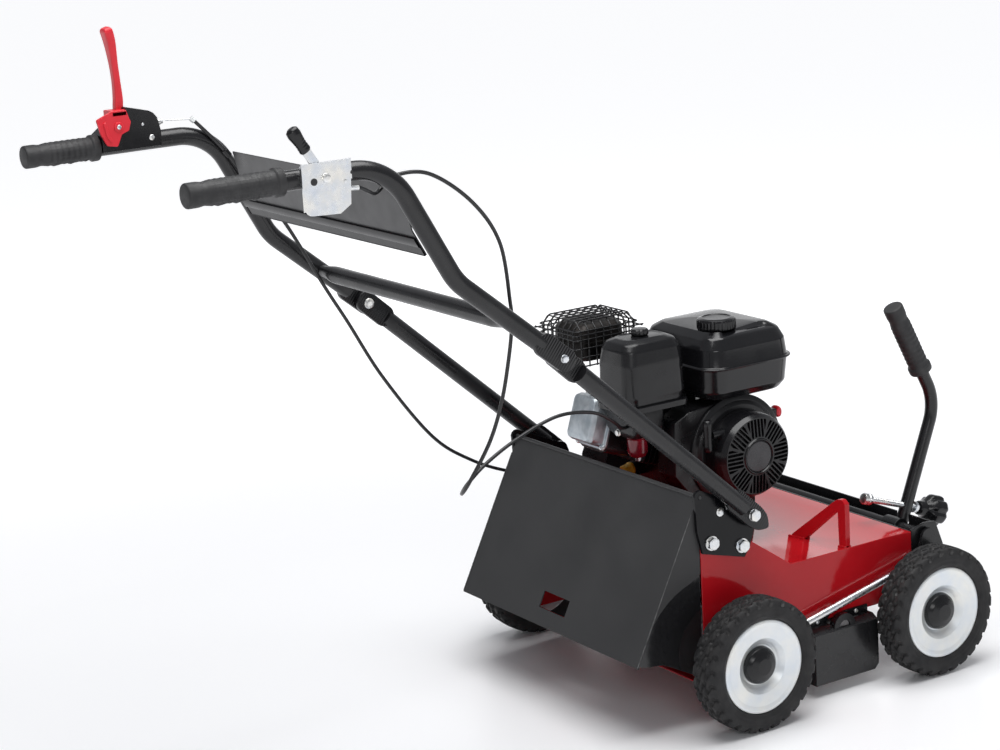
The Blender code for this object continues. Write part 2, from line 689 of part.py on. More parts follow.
def build_axle(name, pivot, wheel, eye):
    """Lift shaft across the deck with a crank arm and a stub axle for the wheel on each side."""
    inner = DECK_HALF + 0.0035
    outer = inner + ARM_THICKNESS
    arms = [cylinder(name, "x", pivot, CROSS_TUBE_RADIUS, -outer + 0.001, outer - 0.001, 20)]
    for side in (-1, 1):
        low, high = sorted((side * inner, side * outer))
        plate = capsule(pivot, wheel, 0.014, 6)
        arms.append(prism("arm", plate, "x", low, high))
        collar_end = TRACK_HALF - TYRE_WIDTH + 0.0045
        low, high = sorted((side * (inner + 0.002), side * collar_end))
        arms.append(cylinder("collar", "x", wheel, 0.010, low, high, 16))
        low, high = sorted((side * (inner + 0.001), side * (WHEEL_MIDDLE_X + 0.006)))
        arms.append(cylinder("stub", "x", wheel, AXLE_RADIUS, low, high, 16))
    arms.append(prism("ear", capsule(pivot, eye, 0.009, 6), "x", inner, outer))
    arms.append(cylinder("eye_pin", "x", eye, 0.004, inner + 0.001, outer + 0.0095, 12))
    made = combine(arms[0], arms[1:])
    place(made, "black_paint", (0, *pivot))


def build_tie_rod():
    """Zinc rod that makes the rear arms follow the front ones, flattened at both ends."""
    face = DECK_HALF + 0.0035 + ARM_THICKNESS + GAP
    middle = face + 0.0045
    rear = Vector((middle, *REAR_ROD_EYE))
    front = Vector((middle, *FRONT_ROD_EYE))
    run = (front - rear).normalized()
    rod = tube("tie_rod", [rear + run * 0.012, front - run * 0.012], ROD_RADIUS - 0.0015, 12)
    pads = []
    for eye in (REAR_ROD_EYE, FRONT_ROD_EYE):
        sign = 1 if eye == REAR_ROD_EYE else -1
        tip = (eye[0] + run.y * 0.020 * sign, eye[1] + run.z * 0.020 * sign)
        pads.append(prism("pad", capsule(eye, tip, EYE_RADIUS, 6), "x", face, face + 0.005))
    combine(rod, pads)
    holes = [cylinder("eye", "x", eye, 0.004 + PIN_PLAY, face - 0.01, face + 0.02, 12)
             for eye in (REAR_ROD_EYE, FRONT_ROD_EYE)]
    cut(rod, holes)
    place(rod, "zinc", (middle, *FRONT_ROD_EYE))


def build_wheel(label, side, y):
    """Tyre with staggered lugs, and its zinc disc with the hub cap."""
    outer = TRACK_HALF
    middle = WHEEL_MIDDLE_X
    half = TYRE_WIDTH / 2
    bead = DISC_RADIUS
    shape = [(bead, -0.84), (0.080, -0.96), (0.089, -1.0), (0.0955, -0.93), (WHEEL_RADIUS, -0.62),
             (WHEEL_RADIUS, -0.20), (WHEEL_RADIUS, 0.20), (WHEEL_RADIUS, 0.62), (0.0955, 0.93),
             (0.089, 1.0), (0.080, 0.96), (bead, 0.84)]
    profile = [(r, side * (middle + t * half)) for r, t in shape]

    def lugs(index, step):
        radius = profile[index][0]
        if index in (4, 7) and step % 2 == (0 if index == 4 else 1):
            return radius - LUG_DEPTH
        if index in (3, 8) and step % 2 == (0 if index == 3 else 1):
            return radius - LUG_DEPTH * 0.6
        return radius

    centre = (y, WHEEL_RADIUS)
    pivot = (side * middle, *centre)
    tyre = revolve("tyre_" + label, profile, "x", centre, LUGS * 2, ring=True, radius_of=lugs)
    place(tyre, "rubber", pivot, 50)

    rim = bead - GAP
    hub = AXLE_RADIUS + RUNNING_GAP
    face = [(0, 0.0235), (0.012, 0.0228), (0.022, 0.0195), (0.0283, 0.0150), (0.0285, 0.0110),
            (0.0330, 0.0110), (0.0430, 0.0185), (0.0600, 0.0200), (rim - 0.003, 0.0215), (rim, 0.0205),
            (rim, -0.0190), (rim - 0.003, -0.0190), (rim - 0.003, 0.0165), (0.0600, 0.0170),
            (0.0440, 0.0150), (0.0340, 0.0070), (0.0170, 0.0070), (0.0170, -0.0200), (hub, -0.0200),
            (hub, 0.0075), (0, 0.0075)]
    turned = [(r, side * (middle + t)) for r, t in face]
    disc = revolve("wheel_disc_" + label, turned, "x", centre, 20)
    place(disc, "wheel_zinc", pivot, 40)


def lever_point(distance):
    """Point on the height lever's lower line, which runs just in front of the lift shaft's axis."""
    lean = math.radians(LEVER_LEAN)
    return (FRONT_PIVOT[0] + LEVER_OFFSET * math.cos(lean) + distance * math.sin(lean),
            FRONT_PIVOT[1] - LEVER_OFFSET * math.sin(lean) + distance * math.cos(lean))


def build_height_lever():
    """Bent lever welded over the front lift shaft, its grip, and the depth screw through its foot."""
    lean = math.radians(LEVER_LEAN)
    bend = lever_point((LEVER_BEND_Z - lever_point(0)[1]) / math.cos(lean))
    foot = lever_point(-0.002)
    top = Vector((LEVER_X, *LEVER_TOP))
    corner = Vector((LEVER_X, *bend))
    lever = tube("height_lever", rounded_path([(LEVER_X, *foot), corner, top], LEVER_BEND_RADIUS, 6), LEVER_RADIUS, 14)
    crossing = lever_point(SCREW_CROSSING)
    tilt = math.radians(SCREW_TILT)
    ahead = Vector((0, math.cos(tilt), -math.sin(tilt)))
    middle = Vector((LEVER_X, *crossing))
    saddle = cylinder("saddle", "x", FRONT_PIVOT, CROSS_TUBE_RADIUS + 0.005, LEVER_X - 0.016, LEVER_X + 0.016, 20)
    room = CROSS_TUBE_RADIUS * 3
    under = block("under", (LEVER_X - room, FRONT_PIVOT[0] - room, FRONT_PIVOT[1] - room),
                  (LEVER_X + room, FRONT_PIVOT[0] + room, FRONT_PIVOT[1] - CROSS_TUBE_RADIUS / 10))
    combine(lever, [saddle])
    cut(lever, [under, cylinder("seat", "x", FRONT_PIVOT, CROSS_TUBE_RADIUS + GAP, LEVER_X - 0.02, LEVER_X + 0.02, 20)])
    cut(lever, [tube("bore", [middle - ahead * 0.03, middle + ahead * 0.03], SCREW_RADIUS + RUNNING_GAP, 12)])
    place(lever, "black_paint", (LEVER_X, *FRONT_PIVOT))

    back = (corner - top).normalized()
    bottom = top + back * (LEVER_GRIP_LENGTH - GRIP_CAP)
    end = top - back * GRIP_CAP
    grip = tube("lever_grip", [end, top, bottom - back * 0.006, bottom], LEVER_GRIP_RADIUS, 14)
    flange = tube("flange", [bottom - back * 0.006, bottom + back * 0.001], LEVER_GRIP_RADIUS + 0.0025, 14)
    combine(grip, [flange])
    cut(grip, [tube("bore", [top - back * GAP, bottom + back * 0.02], LEVER_RADIUS + GAP, 14)])
    place(grip, "rubber", (LEVER_X, *FRONT_PIVOT))

    screw = tube("depth_screw", [middle - ahead * 0.0874, middle + ahead * 0.0500], SCREW_RADIUS, 12)
    head = tube("head", [middle - ahead * 0.0934, middle - ahead * 0.0774], 0.009, 12)
    knob_start = middle + ahead * KNOB_REACH
    rings = []
    for along, radius in ((0.0, 0.011), (0.012, 0.012), (0.020, KNOB_RADIUS * 0.82),
                          (0.028, KNOB_RADIUS), (0.043, KNOB_RADIUS), (0.048, KNOB_RADIUS * 0.85)):
        point = knob_start + ahead * along
        side = Vector((1, 0, 0))
        upward = ahead.cross(side)
        ring = []
        for s in range(24):
            lobe = 1 - (0.10 if s % 4 == 0 and along > 0.015 else 0)
            angle = 2 * math.pi * s / 24
            ring.append(tuple(point + (side * math.cos(angle) + upward * math.sin(angle)) * radius * lobe))
        rings.append(ring)
    combine(screw, [head, loft("knob", rings)])
    place(screw, "black_paint", tuple(middle))


def build_lift_strap():
    """Bent steel strap on the deck's top for lifting the machine, measured inwards from the deck's wall."""
    middle_y = 0.209
    half = 0.012
    base = TOP_Z + GAP
    shape = [(0.108, 0.0), (0.086, 0.0), (0.0845, 0.0035), (0.0300, 0.066), (0.0180, 0.064), (0.0095, 0.040),
             (0.0095, 0.004), (0.0145, 0.0), (0.0015, 0.0), (0.0050, 0.004), (0.0050, 0.041), (0.0150, 0.0695),
             (0.0320, 0.0720), (0.0885, 0.0045), (0.108, 0.0040)]
    outline = [(DECK_HALF - inset, base + rise) for inset, rise in shape]
    place(prism("lifting_handle", outline, "y", middle_y - half, middle_y + half), "red_paint")


def build_bracket(label, side):
    """Plate bolted to the deck's wall that carries the handle's lower bolt and the flap's hinge."""
    low_x = DECK_HALF + GAP
    high_x = low_x + BRACKET_SHEET
    fold = (LOWER_FOLD[1], LOWER_FOLD[2])
    outline = [(-0.0495, 0.2655), (0.026, 0.2445), (0.036, 0.258), (0.0475, 0.288)]
    outline += arc(fold, 0.014, 10, 100, 5)
    outline += arc(FLAP_HINGE, 0.010, 80, 200, 4)
    outline += [(-0.058, 0.300)]
    low, high = sorted((side * low_x, side * high_x))
    plate = prism("handle_bracket_" + label, outline, "x", low, high)
    tools = []
    for y, z in ((-0.033, 0.2785), (0.022, 0.263)):
        low, high = sorted((side * (high_x - 0.001), side * (high_x + 0.007)))
        tools.append(cylinder("bolt", "x", (y, z), 0.0085, low, high, 6))
    inner_fold_x = LOWER_FOLD[0] - KNUCKLE_WIDTH / 2 - GAP
    low, high = sorted((side * (high_x - 0.001), side * inner_fold_x))
    tools.append(cylinder("boss", "x", fold, 0.010, low, high, 16))
    low, high = sorted((side * (high_x - 0.001), side * (LOWER_FOLD[0] + KNUCKLE_WIDTH / 2 + 0.001)))
    tools.append(cylinder("pin", "x", fold, FOLD_BOLT_RADIUS, low, high, 14))
    low, high = sorted((side * (LOWER_FOLD[0] + KNUCKLE_WIDTH / 2 + GAP),
                        side * (LOWER_FOLD[0] + KNUCKLE_WIDTH / 2 + 0.006)))
    tools.append(cylinder("head", "x", fold, 0.0075, low, high, 6))
    combine(plate, tools)
    low, high = sorted((side * (low_x - 0.01), side * (high_x + 0.01)))
    cut(plate, [cylinder("hinge_hole", "x", FLAP_HINGE, HINGE_PIN_RADIUS + RUNNING_GAP, low, high, 12)])
    place(plate, "black_paint")


def knuckle(side, point, low_x, high_x, name="knuckle"):
    """Toothed lock disc about a folding joint."""
    outline = []
    teeth = 12
    for k in range(teeth * 2):
        radius = KNUCKLE_RADIUS - (0.0012 if k % 2 else 0.0)
        angle = math.pi * k / teeth
        outline.append((point[0] + radius * math.cos(angle), point[1] + radius * math.sin(angle)))
    low, high = sorted((side * low_x, side * high_x))
    return prism(name, outline, "x", low, high)


def build_strut(label, side):
    """Lower handle tube with a toothed disc at both ends."""
    upper = Vector((side * UPPER_FOLD[0], UPPER_FOLD[1], UPPER_FOLD[2]))
    lower = Vector((side * LOWER_FOLD[0], LOWER_FOLD[1], LOWER_FOLD[2]))
    run = (upper - lower).normalized()
    reach = KNUCKLE_RADIUS * 0.55
    strut = tube("lower_strut_" + label, [lower + run * reach, upper - run * (KNUCKLE_RADIUS + 0.004)],
                 TUBE_RADIUS, 12)
    across = Vector((0, -run.z, run.y))
    tang = [(-0.036, 0.003), (-0.034, 0.012), (-0.012, 0.0165), (0.004, 0.0165), (0.022, 0.011)]
    corners = [lower + run * t + across * w for t, w in tang]
    corners += [lower + run * t - across * w for t, w in reversed(tang)]
    low_x, high_x = sorted((side * (LOWER_FOLD[0] - KNUCKLE_WIDTH / 2), side * (LOWER_FOLD[0] + KNUCKLE_WIDTH / 2)))
    low_disc = prism("tang", [(c.y, c.z) for c in corners], "x", low_x, high_x)
    inner = UPPER_FOLD[0] - KNUCKLE_WIDTH - GAP / 2
    top_disc = knuckle(side, upper.yz, inner, UPPER_FOLD[0] - GAP / 2)
    tip = upper - run * (KNUCKLE_RADIUS + 0.006)
    low_x, high_x = sorted((side * inner, side * (UPPER_FOLD[0] - GAP / 2)))
    neck = prism("neck", capsule(tip.yz, (upper - run * 0.010).yz, 0.010, 6), "x", low_x, high_x)
    combine(strut, [low_disc, top_disc, neck])
    low_x, high_x = sorted((side * (inner - TUBE_RADIUS), side * (UPPER_FOLD[0] + TUBE_RADIUS)))
    cut(strut, [cylinder("bore", "x", lower.yz, FOLD_BOLT_RADIUS + RUNNING_GAP, low_x, high_x, 14),
                cylinder("bore", "x", upper.yz, FOLD_BOLT_RADIUS + RUNNING_GAP, low_x, high_x, 14)])
    place(strut, "black_paint", tuple(lower))


def build_upper_tube(label, side):
    """Bent upper handle tube, from its grip to the folding joint, with the joint's bolt."""
    fold = Vector((side * UPPER_FOLD[0], UPPER_FOLD[1], UPPER_FOLD[2]))
    corner = Vector((side * (GRIP_X * 0.3 + UPPER_FOLD[0] * 0.7), *LOWER_BEND))
    run = (fold - corner).normalized()
    start = (side * GRIP_X, GRIP_END_Y + GRIP_CAP, GRIP_Z)
    bend = (side * GRIP_X, *UPPER_BEND)
    stop = fold - run * (KNUCKLE_RADIUS + 0.004)
    made = tube("upper_tube_" + label, rounded_path([start, bend, corner, stop], BEND_RADIUS, 5), TUBE_RADIUS, 12)
    inner = UPPER_FOLD[0] + GAP / 2
    outer = inner + KNUCKLE_WIDTH
    disc = knuckle(side, fold.yz, inner, outer)
    low, high = sorted((side * inner, side * outer))
    tip = fold - run * (KNUCKLE_RADIUS + 0.006)
    neck = prism("neck", capsule(tip.yz, (fold - run * 0.010).yz, 0.010, 6), "x", low, high)
    low, high = sorted((side * (inner - KNUCKLE_WIDTH - 0.004), side * (outer - 0.001)))
    bolt = cylinder("bolt", "x", fold.yz, FOLD_BOLT_RADIUS, low, high, 14)
    low, high = sorted((side * (outer - 0.001), side * (outer + 0.0055)))
    head = cylinder("head", "x", fold.yz, 0.0075, low, high, 6)
    combine(made, [disc, neck, bolt, head])
    place(made, "black_paint", tuple(fold))


def build_grip(label, side):
    """Rubber sleeve over the end of an upper tube."""
    centre = (side * GRIP_X, GRIP_Z)
    end = GRIP_END_Y
    stop = end + (GRIP_LENGTH if side > 0 else LEFT_GRIP_LENGTH)
    profile = [(0, end), (GRIP_RADIUS - 0.002, end), (GRIP_RADIUS, end + 0.002), (GRIP_RADIUS, end + 0.016),
               (GRIP_RADIUS - 0.0015, end + 0.022), (GRIP_RADIUS, end + 0.05), (GRIP_RADIUS, stop - 0.012),
               (GRIP_RADIUS + 0.0025, stop - 0.009), (GRIP_RADIUS + 0.0025, stop), (TUBE_RADIUS + GAP, stop),
               (TUBE_RADIUS + GAP, end + GRIP_CAP - GAP), (0, end + GRIP_CAP - GAP)]
    grip = revolve("grip_" + label, profile, "y", centre, 16)
    place(grip, "rubber", (side * UPPER_FOLD[0], UPPER_FOLD[1], UPPER_FOLD[2]))


def build_console():
    """Crossbar and folded console plate between the upper tubes."""
    pivot = (0, UPPER_FOLD[1], UPPER_FOLD[2])
    bar_y = -0.362
    bar_z = 0.669
    end = GRIP_X * 0.1 + UPPER_FOLD[0] * 0.9 - TUBE_RADIUS - GAP
    lower = Vector((0.0, *LOWER_BEND))
    fold = Vector((0.0, UPPER_FOLD[1], UPPER_FOLD[2]))
    run = (fold - lower).normalized()
    middle = lower + run * (Vector((0, bar_y, bar_z)) - lower).dot(run)
    crossbar = tube("crossbar", [(-end, middle.y, middle.z), (end, middle.y, middle.z)], TUBE_RADIUS, 12)
    place(crossbar, "black_paint", pivot)

    upper = Vector((0.0, *UPPER_BEND))
    steep = (lower - upper).normalized()
    sheet = PLATE_THICKNESS
    rear_side = [Vector(corner) for corner in CONSOLE_LINE]
    flat = (rear_side[1] - rear_side[0]).normalized()
    lip = (rear_side[2] - rear_side[1]).normalized()
    turned = [Vector((-flat.y, flat.x)), Vector((-lip.y, lip.x))]
    front_side = [rear_side[0] + turned[0] * sheet, rear_side[1] + (turned[0] + turned[1]) * sheet / 2,
                  rear_side[2] + turned[1] * sheet]
    outline = [tuple(corner) for corner in rear_side + front_side[::-1]]
    length = (lower - upper).length
    halves = []
    for y, z in outline:
        share = min(max((Vector((0, y, z)) - upper).dot(steep) / length, 0.0), 1.0)
        halves.append(GRIP_X + (UPPER_FOLD[0] - GRIP_X) * 0.7 * share - TUBE_RADIUS - GAP)
    plate = loft("console_plate", [[(side * half, y, z) for half, (y, z) in zip(halves, outline)]
                                   for side in (-1, 1)])
    passage = block("passage", (-halves[0] - 0.01, rear_side[0].x - 0.03, rear_side[1].y + 0.012),
                    (-halves[0] + 0.016, rear_side[1].x + 0.03, rear_side[0].y + 0.02))
    cut(plate, [passage])
    place(plate, "black_paint", pivot)


def build_clutch_controls():
    """Black clutch housing on the left tube and the red hand lever that straddles it."""
    x = -GRIP_X
    half = 0.0190
    pivot = (-0.685, 0.925)
    rear = GRIP_END_Y + LEFT_GRIP_LENGTH + 0.002
    front = rear + 0.0907
    base = GRIP_Z - 0.0065
    outline = [(rear, base), (front, base), (front, 0.9125), (-0.6225, 0.931), (-0.628, 0.938),
               (-0.6345, 0.9418), (-0.6685, 0.9505), (-0.6705, 0.949), (-0.6705, 0.935)]
    outline += arc(pivot, 0.0095, 60, 180, 5) + [(rear, 0.914)]
    fold = (-UPPER_FOLD[0], UPPER_FOLD[1], UPPER_FOLD[2])
    housing = prism("clutch_housing", outline, "x", x - half, x + half)
    nipple = cylinder("nipple", "y", (x, 0.922), 0.0035, front - 0.007, front + 0.011, 10)
    combine(housing, [nipple])
    cut(housing, [cylinder("bore", "y", (x, GRIP_Z), TUBE_RADIUS + GAP, rear - 0.02, front + 0.02, 16),
                  cylinder("pin_hole", "x", pivot, 0.003 + RUNNING_GAP, x - 0.04, x + 0.04, 12)])
    place(housing, "black_paint", fold)

    cheek_in = half + 0.0015
    cheek_out = cheek_in + 0.004
    near = [(-0.7177, 0.9378), (-0.7127, 0.9175), (-0.7039, 0.9001), (-0.6885, 0.8973), (-0.6808, 0.9140),
            (-0.6696, 0.9180), (-0.6656, 0.9297), (-0.6719, 0.9476), (-0.6940, 0.9476)]
    base_z = 0.9440
    blade = [(-0.6820, base_z), (-0.6725, base_z), (-0.6720, 0.9530), (-0.6640, 0.9545), (-0.6680, 0.9640),
             (-0.6690, 0.9900), (-0.6715, 1.0270), (-0.6685, 1.0560), (-0.6740, 1.0615), (-0.6850, 1.0640),
             (-0.6810, 1.0280), (-0.6785, 0.9920), (-0.6790, 0.9650)]
    lever = prism("clutch_lever", blade, "x", x - 0.004, x + 0.004)
    bridge = block("bridge", (x - 0.005, -0.6900, 0.9390), (x + cheek_out, -0.6725, 0.9470))
    sides = [bridge, prism("cheek", near, "x", x + cheek_in, x + cheek_out)]
    sides.append(cylinder("pin", "x", pivot, 0.003, x - half - 0.002, x + cheek_out + 0.001, 12))
    combine(lever, sides)
    place(lever, "red_plastic", (x, *pivot))


def build_throttle_controls():
    """Zinc throttle bracket on the right tube and the arm that swings inside it."""
    face = GRIP_X + TUBE_RADIUS + GAP
    plate_in = face + 0.0030
    plate_out = plate_in + PLATE_THICKNESS
    rear, front = -0.6685, -0.5975
    pivot = (-0.635, 0.8962)
    bottom = 0.853
    outline = [(rear, 0.917), (rear, bottom + 0.004)] + arc((rear + 0.012, bottom + 0.008), 0.010, 200, 270, 3)
    outline += [(front - 0.020, bottom - 0.004), (front - 0.004, bottom + 0.006), (front, 0.917)]
    plate = prism("throttle_plate", outline, "x", plate_in, plate_out)
    reach = GRIP_Z - 0.006
    flanges = [block("flange", (face, rear, reach), (plate_out - 0.0005, rear + 0.0022, 0.9145)),
               block("flange", (face, front - 0.0022, reach), (plate_out - 0.0005, front, 0.9145)),
               tube("adjuster", [(plate_in - 0.002, front - 0.012, 0.8797), (plate_in - 0.002, front + 0.010, 0.8775)],
                    0.0033, 10),
               cylinder("bolt", "x", pivot, 0.0025, face + 0.0003, plate_out + 0.001, 10),
               cylinder("head", "x", pivot, 0.0055, plate_out - 0.0005, plate_out + 0.003, 6)]
    combine(plate, flanges)
    fold = UPPER_FOLD
    place(plate, "zinc", fold)

    lean = math.radians(32.5)
    up = Vector((-math.sin(lean), math.cos(lean)))
    tip = Vector(pivot) + up * 0.048
    low = face + 0.0006
    high = plate_in - 0.0004
    arm = prism("throttle_lever", capsule(pivot, tip, 0.0065, 6), "x", low, high)
    knob_start = Vector(((low + high) / 2, *(Vector(pivot) + up * 0.045)))
    knob_end = Vector(((low + high) / 2, *(Vector(pivot) + up * 0.078)))
    rod = knob_end - knob_start
    knob = tube("knob", [knob_start, knob_start + rod * 0.15, knob_start + rod * 0.5, knob_end], 0.0085, 10)
    combine(arm, [knob])
    cut(arm, [cylinder("bore", "x", pivot, 0.0025 + RUNNING_GAP, low - 0.01, high + 0.01, 10)])
    place(arm, "zinc", (low, *pivot))


def build_flap():
    """Rear flap: sheet with side flanges and a hand slot, hung on its hinge pin."""
    lean = math.radians(FLAP_LEAN)
    down = Vector((-math.sin(lean), -math.cos(lean)))
    out = Vector((-math.cos(lean), math.sin(lean)))
    top = Vector(FLAP_HINGE)
    foot = top + down * FLAP_HEIGHT
    half = DECK_HALF - GAP
    sheet = [top, foot, foot - out * SHEET, top - out * SHEET]
    flap = prism("rear_flap", [(p.x, p.y) for p in sheet], "x", -half, half)
    edge_y = DECK_REAR_Y - 0.0015
    cut_z = 0.235
    arch = arc((edge_y + 0.020, 0.095), 0.135, 106, 140, 5)
    flange = [tuple(top - out * SHEET / 2), (edge_y, top.y - 0.012), (edge_y, cut_z)] + arch
    flange += [tuple(top + down * 0.2013 - out * SHEET / 2)]
    tools = []
    for side in (-1, 1):
        low, high = sorted((side * (half - SHEET), side * half))
        tools.append(prism("flange", flange, "x", low, high))
    tools.append(cylinder("pin", "x", FLAP_HINGE, HINGE_PIN_RADIUS, -DECK_HALF - 0.006, DECK_HALF + 0.006, 12))
    combine(flap, tools)
    slot_top = top + down * (FLAP_HEIGHT - 0.052)
    slot_low = top + down * (FLAP_HEIGHT - 0.026)
    slot = [slot_top + out * 0.01, slot_low + out * 0.01, slot_low - out * 0.02, slot_top - out * 0.02]
    cut(flap, [prism("slot", [(p.x, p.y) for p in slot], "x", -0.034, 0.034)])
    place(flap, "flap_grey", (0, *FLAP_HINGE))


def cylinder_axis():
    """Direction from the crank to the cylinder's head, and the one square to it, both in (Y, Z)."""
    tilt = math.radians(CYLINDER_TILT)
    along = Vector((-math.cos(tilt), math.sin(tilt)))
    return along, Vector((math.sin(tilt), math.cos(tilt)))


def section(distance, half_x, half_w, radius=0.010, middle=CYLINDER_X):
    """Rounded section square to the cylinder at a distance from the crank's axis."""
    along, across = cylinder_axis()
    ring = []
    for u, v in rounded_rectangle((0, 0), (half_x, half_w), radius, 2):
        ring.append((middle + u, CRANK_Y + along.x * distance + across.x * v,
                     CRANK_Z + along.y * distance + across.y * v))
    return ring


def rocker_ring(distance, inset_x, inset_w):
    """Section of the rocker cover, smaller than the head's face by the insets."""
    return section(distance, HEAD_HALF - 0.0005 - inset_x, 0.043 - inset_w, middle=HEAD_X)


def build_engine_block():
    """Crankcase on its base, with the finned cylinder, its head and the tank's feet."""
    case_top = CRANK_Z + 0.060
    outline = [(CRANK_Y - 0.060, ENGINE_BASE_Z + 0.006), (CRANK_Y + 0.066, ENGINE_BASE_Z + 0.006),
               (CRANK_Y + 0.078, ENGINE_BASE_Z + 0.050), (CRANK_Y + 0.076, CRANK_Z + 0.030),
               (CRANK_Y + 0.045, case_top), (CRANK_Y - 0.035, case_top), (CRANK_Y - 0.064, CRANK_Z + 0.030)]
    case = prism("engine_block", outline, "x", CASE_LEFT_X, CASE_RIGHT_X)
    tools = [block("base", (CASE_LEFT_X - 0.006, CRANK_Y - 0.028, TOP_Z + GAP),
                   (CASE_RIGHT_X - 0.004, CRANK_Y + 0.072, ENGINE_BASE_Z + 0.010))]
    rings = [section(0.030, 0.036, 0.036)]
    start = 0.062
    for k in range(FIN_COUNT):
        place_at = start + FIN_PITCH * k
        for shift, half in ((0.0, 0.040), (0.0004, 0.050), (0.0030, 0.050), (0.0034, 0.040)):
            rings.append(section(place_at + shift, half, half))
    head = start + FIN_PITCH * FIN_COUNT
    rings += [section(head, HEAD_HALF, 0.046, middle=HEAD_X), section(head_end(), HEAD_HALF, 0.046, middle=HEAD_X)]
    tools.append(loft("barrel", rings))
    for y in (TANK_Y - 0.030, TANK_Y + 0.030):
        tools.append(block("tank_foot", (TANK_X - 0.062, y - 0.009, case_top - 0.012),
                           (TANK_X - 0.026, y + 0.009, TANK_BOTTOM_Z - GAP)))
    along, across = cylinder_axis()
    tools.append(cylinder("filler", "y", (CASE_LEFT_X + 0.026, ENGINE_BASE_Z + 0.060), 0.012,
                          CRANK_Y - 0.085, CRANK_Y - 0.050, 14))
    combine(case, tools)
    cut(case, [cylinder("shaft_bore", "x", (CRANK_Y, CRANK_Z), SHAFT_RADIUS + RUNNING_GAP,
                        CASE_LEFT_X - 0.01, CASE_LEFT_X + 0.018, 16)])
    place(case, "engine_black")

    cap = head_end() + GAP
    rocker = loft("rocker_cover", [rocker_ring(cap, 0.0, 0.0), rocker_ring(cap + 0.004, 0.0, 0.0),
                                   rocker_ring(cap + 0.0045, 0.004, 0.005), rocker_ring(cap + 0.026, 0.005, 0.006),
                                   rocker_ring(cap + 0.036, 0.011, 0.013)])
    place(rocker, "aluminium")

    plug_y = CRANK_Y - 0.085 - GAP
    centre = (CASE_LEFT_X + 0.026, ENGINE_BASE_Z + 0.060)
    profile = [(0, plug_y), (0.011, plug_y), (0.011, plug_y - 0.004), (0.0085, plug_y - 0.006),
               (0.0085, plug_y - 0.016), (0.006, plug_y - 0.019), (0, plug_y - 0.019)]
    place(revolve("oil_plug", profile, "y", centre, 14), "yellow_plastic", (centre[0], plug_y, centre[1]))


def head_end():
    """Distance from the crank to the end of the cylinder head."""
    return 0.062 + FIN_PITCH * FIN_COUNT + 0.045


def build_blower():
    """Fan housing on the crankcase's right side, with the switch's box, and the slotted recoil cover."""
    low = CASE_RIGHT_X + GAP
    high = low + BLOWER_DEPTH
    crank = (CRANK_Y, CRANK_Z)
    shroud = arc(crank, BLOWER_RADIUS, -100, 110, 16)
    shroud += [(0.060, 0.424), (0.034, 0.412), (0.030, 0.330), (0.062, 0.290)]
    housing = prism("blower_housing", shroud, "x", low, high - 0.012)
    ring = revolve("ring", [(0, low + 0.01), (BLOWER_RADIUS - 0.004, low + 0.01),
                            (BLOWER_RADIUS - 0.004, high - 0.006), (BLOWER_RADIUS - 0.012, high), (0, high)],
                   "x", crank, 24)
    angle = math.radians(30)
    spot = (CRANK_Y + BLOWER_RADIUS * math.cos(angle), CRANK_Z + BLOWER_RADIUS * math.sin(angle))
    box = block("switch_box", (high - 0.034, spot[0] - 0.012, spot[1] - 0.014),
                (high - 0.006, spot[0] + SWITCH_REACH, spot[1] + 0.014))
    combine(housing, [ring, box])
    hinge = (spot[0] + SWITCH_REACH - 0.0025, spot[1])
    switch_x = high - 0.020
    pocket = block("pocket", (switch_x - 0.0084, hinge[0] - 0.0065, hinge[1] - 0.0100),
                   (switch_x + 0.0084, hinge[0] + 0.02, hinge[1] + 0.0100))
    pin_hole = cylinder("pin_hole", "x", hinge, 0.0016 + RUNNING_GAP, switch_x - 0.0105, switch_x + 0.0105, 10)
    cut(housing, [pocket, pin_hole])
    place(housing, "engine_black")

    outline = [(-0.0035, -0.0085), (0.0035, -0.0085), (0.0052, 0.0), (0.0035, 0.0085), (-0.0035, 0.0085)]
    outline = [(hinge[0] + y, hinge[1] + z) for y, z in outline]
    rocker = prism("engine_switch", outline, "x", switch_x - 0.008, switch_x + 0.008)
    combine(rocker, [cylinder("pin", "x", hinge, 0.0016, switch_x - 0.0100, switch_x + 0.0100, 10)])
    place(rocker, "red_plastic", (switch_x, *hinge))

    base = high + GAP
    face = base + RECOIL_DEPTH
    wall = RECOIL_WALL
    outer = [(0, face), (0.030, face), (0.033, face - 0.002), (0.054, face - 0.004),
             (RECOIL_RADIUS - 0.003, face - 0.013), (RECOIL_RADIUS, face - 0.026), (RECOIL_RADIUS, base)]
    inner = [(RECOIL_RADIUS - wall, base), (RECOIL_RADIUS - wall, face - 0.027),
             (RECOIL_RADIUS - 0.003 - wall, face - 0.015), (0.052, face - 0.004 - wall), (0, face - 0.002 - wall)]
    cover = revolve("recoil_cover", outer + inner, "x", crank, 24)
    slots = []
    for sector in range(8):
        turn = math.radians(45 * sector + 22.5)
        for offset in (-0.0105, -0.0035, 0.0035, 0.0105):
            slots.append(slot_bar(crank, turn, offset, 0.0345, 0.0565, face - 0.02, face + 0.01))
    cut(cover, slots)
    guide_start = STARTER_GRIP[1] + 0.0066 + GAP
    guide = cylinder("guide", "y", (STARTER_GRIP[0], STARTER_GRIP[2]), 0.0068, guide_start, guide_start + 0.022, 12)
    combine(cover, [guide])
    place(cover, "engine_black")

    x, handle_y, handle_z = STARTER_GRIP
    rings = []
    for t, r in ((-1, 0.0045), (-0.9, 0.0075), (0, 0.0064), (0.9, 0.0075), (1, 0.0045)):
        rings.append([(x + a, handle_y + b, handle_z + t * 0.025) for a, b in arc((0, 0), r, 0, 330, 11)])
    place(loft("starter_grip", rings), "engine_black", (x, handle_y, handle_z))


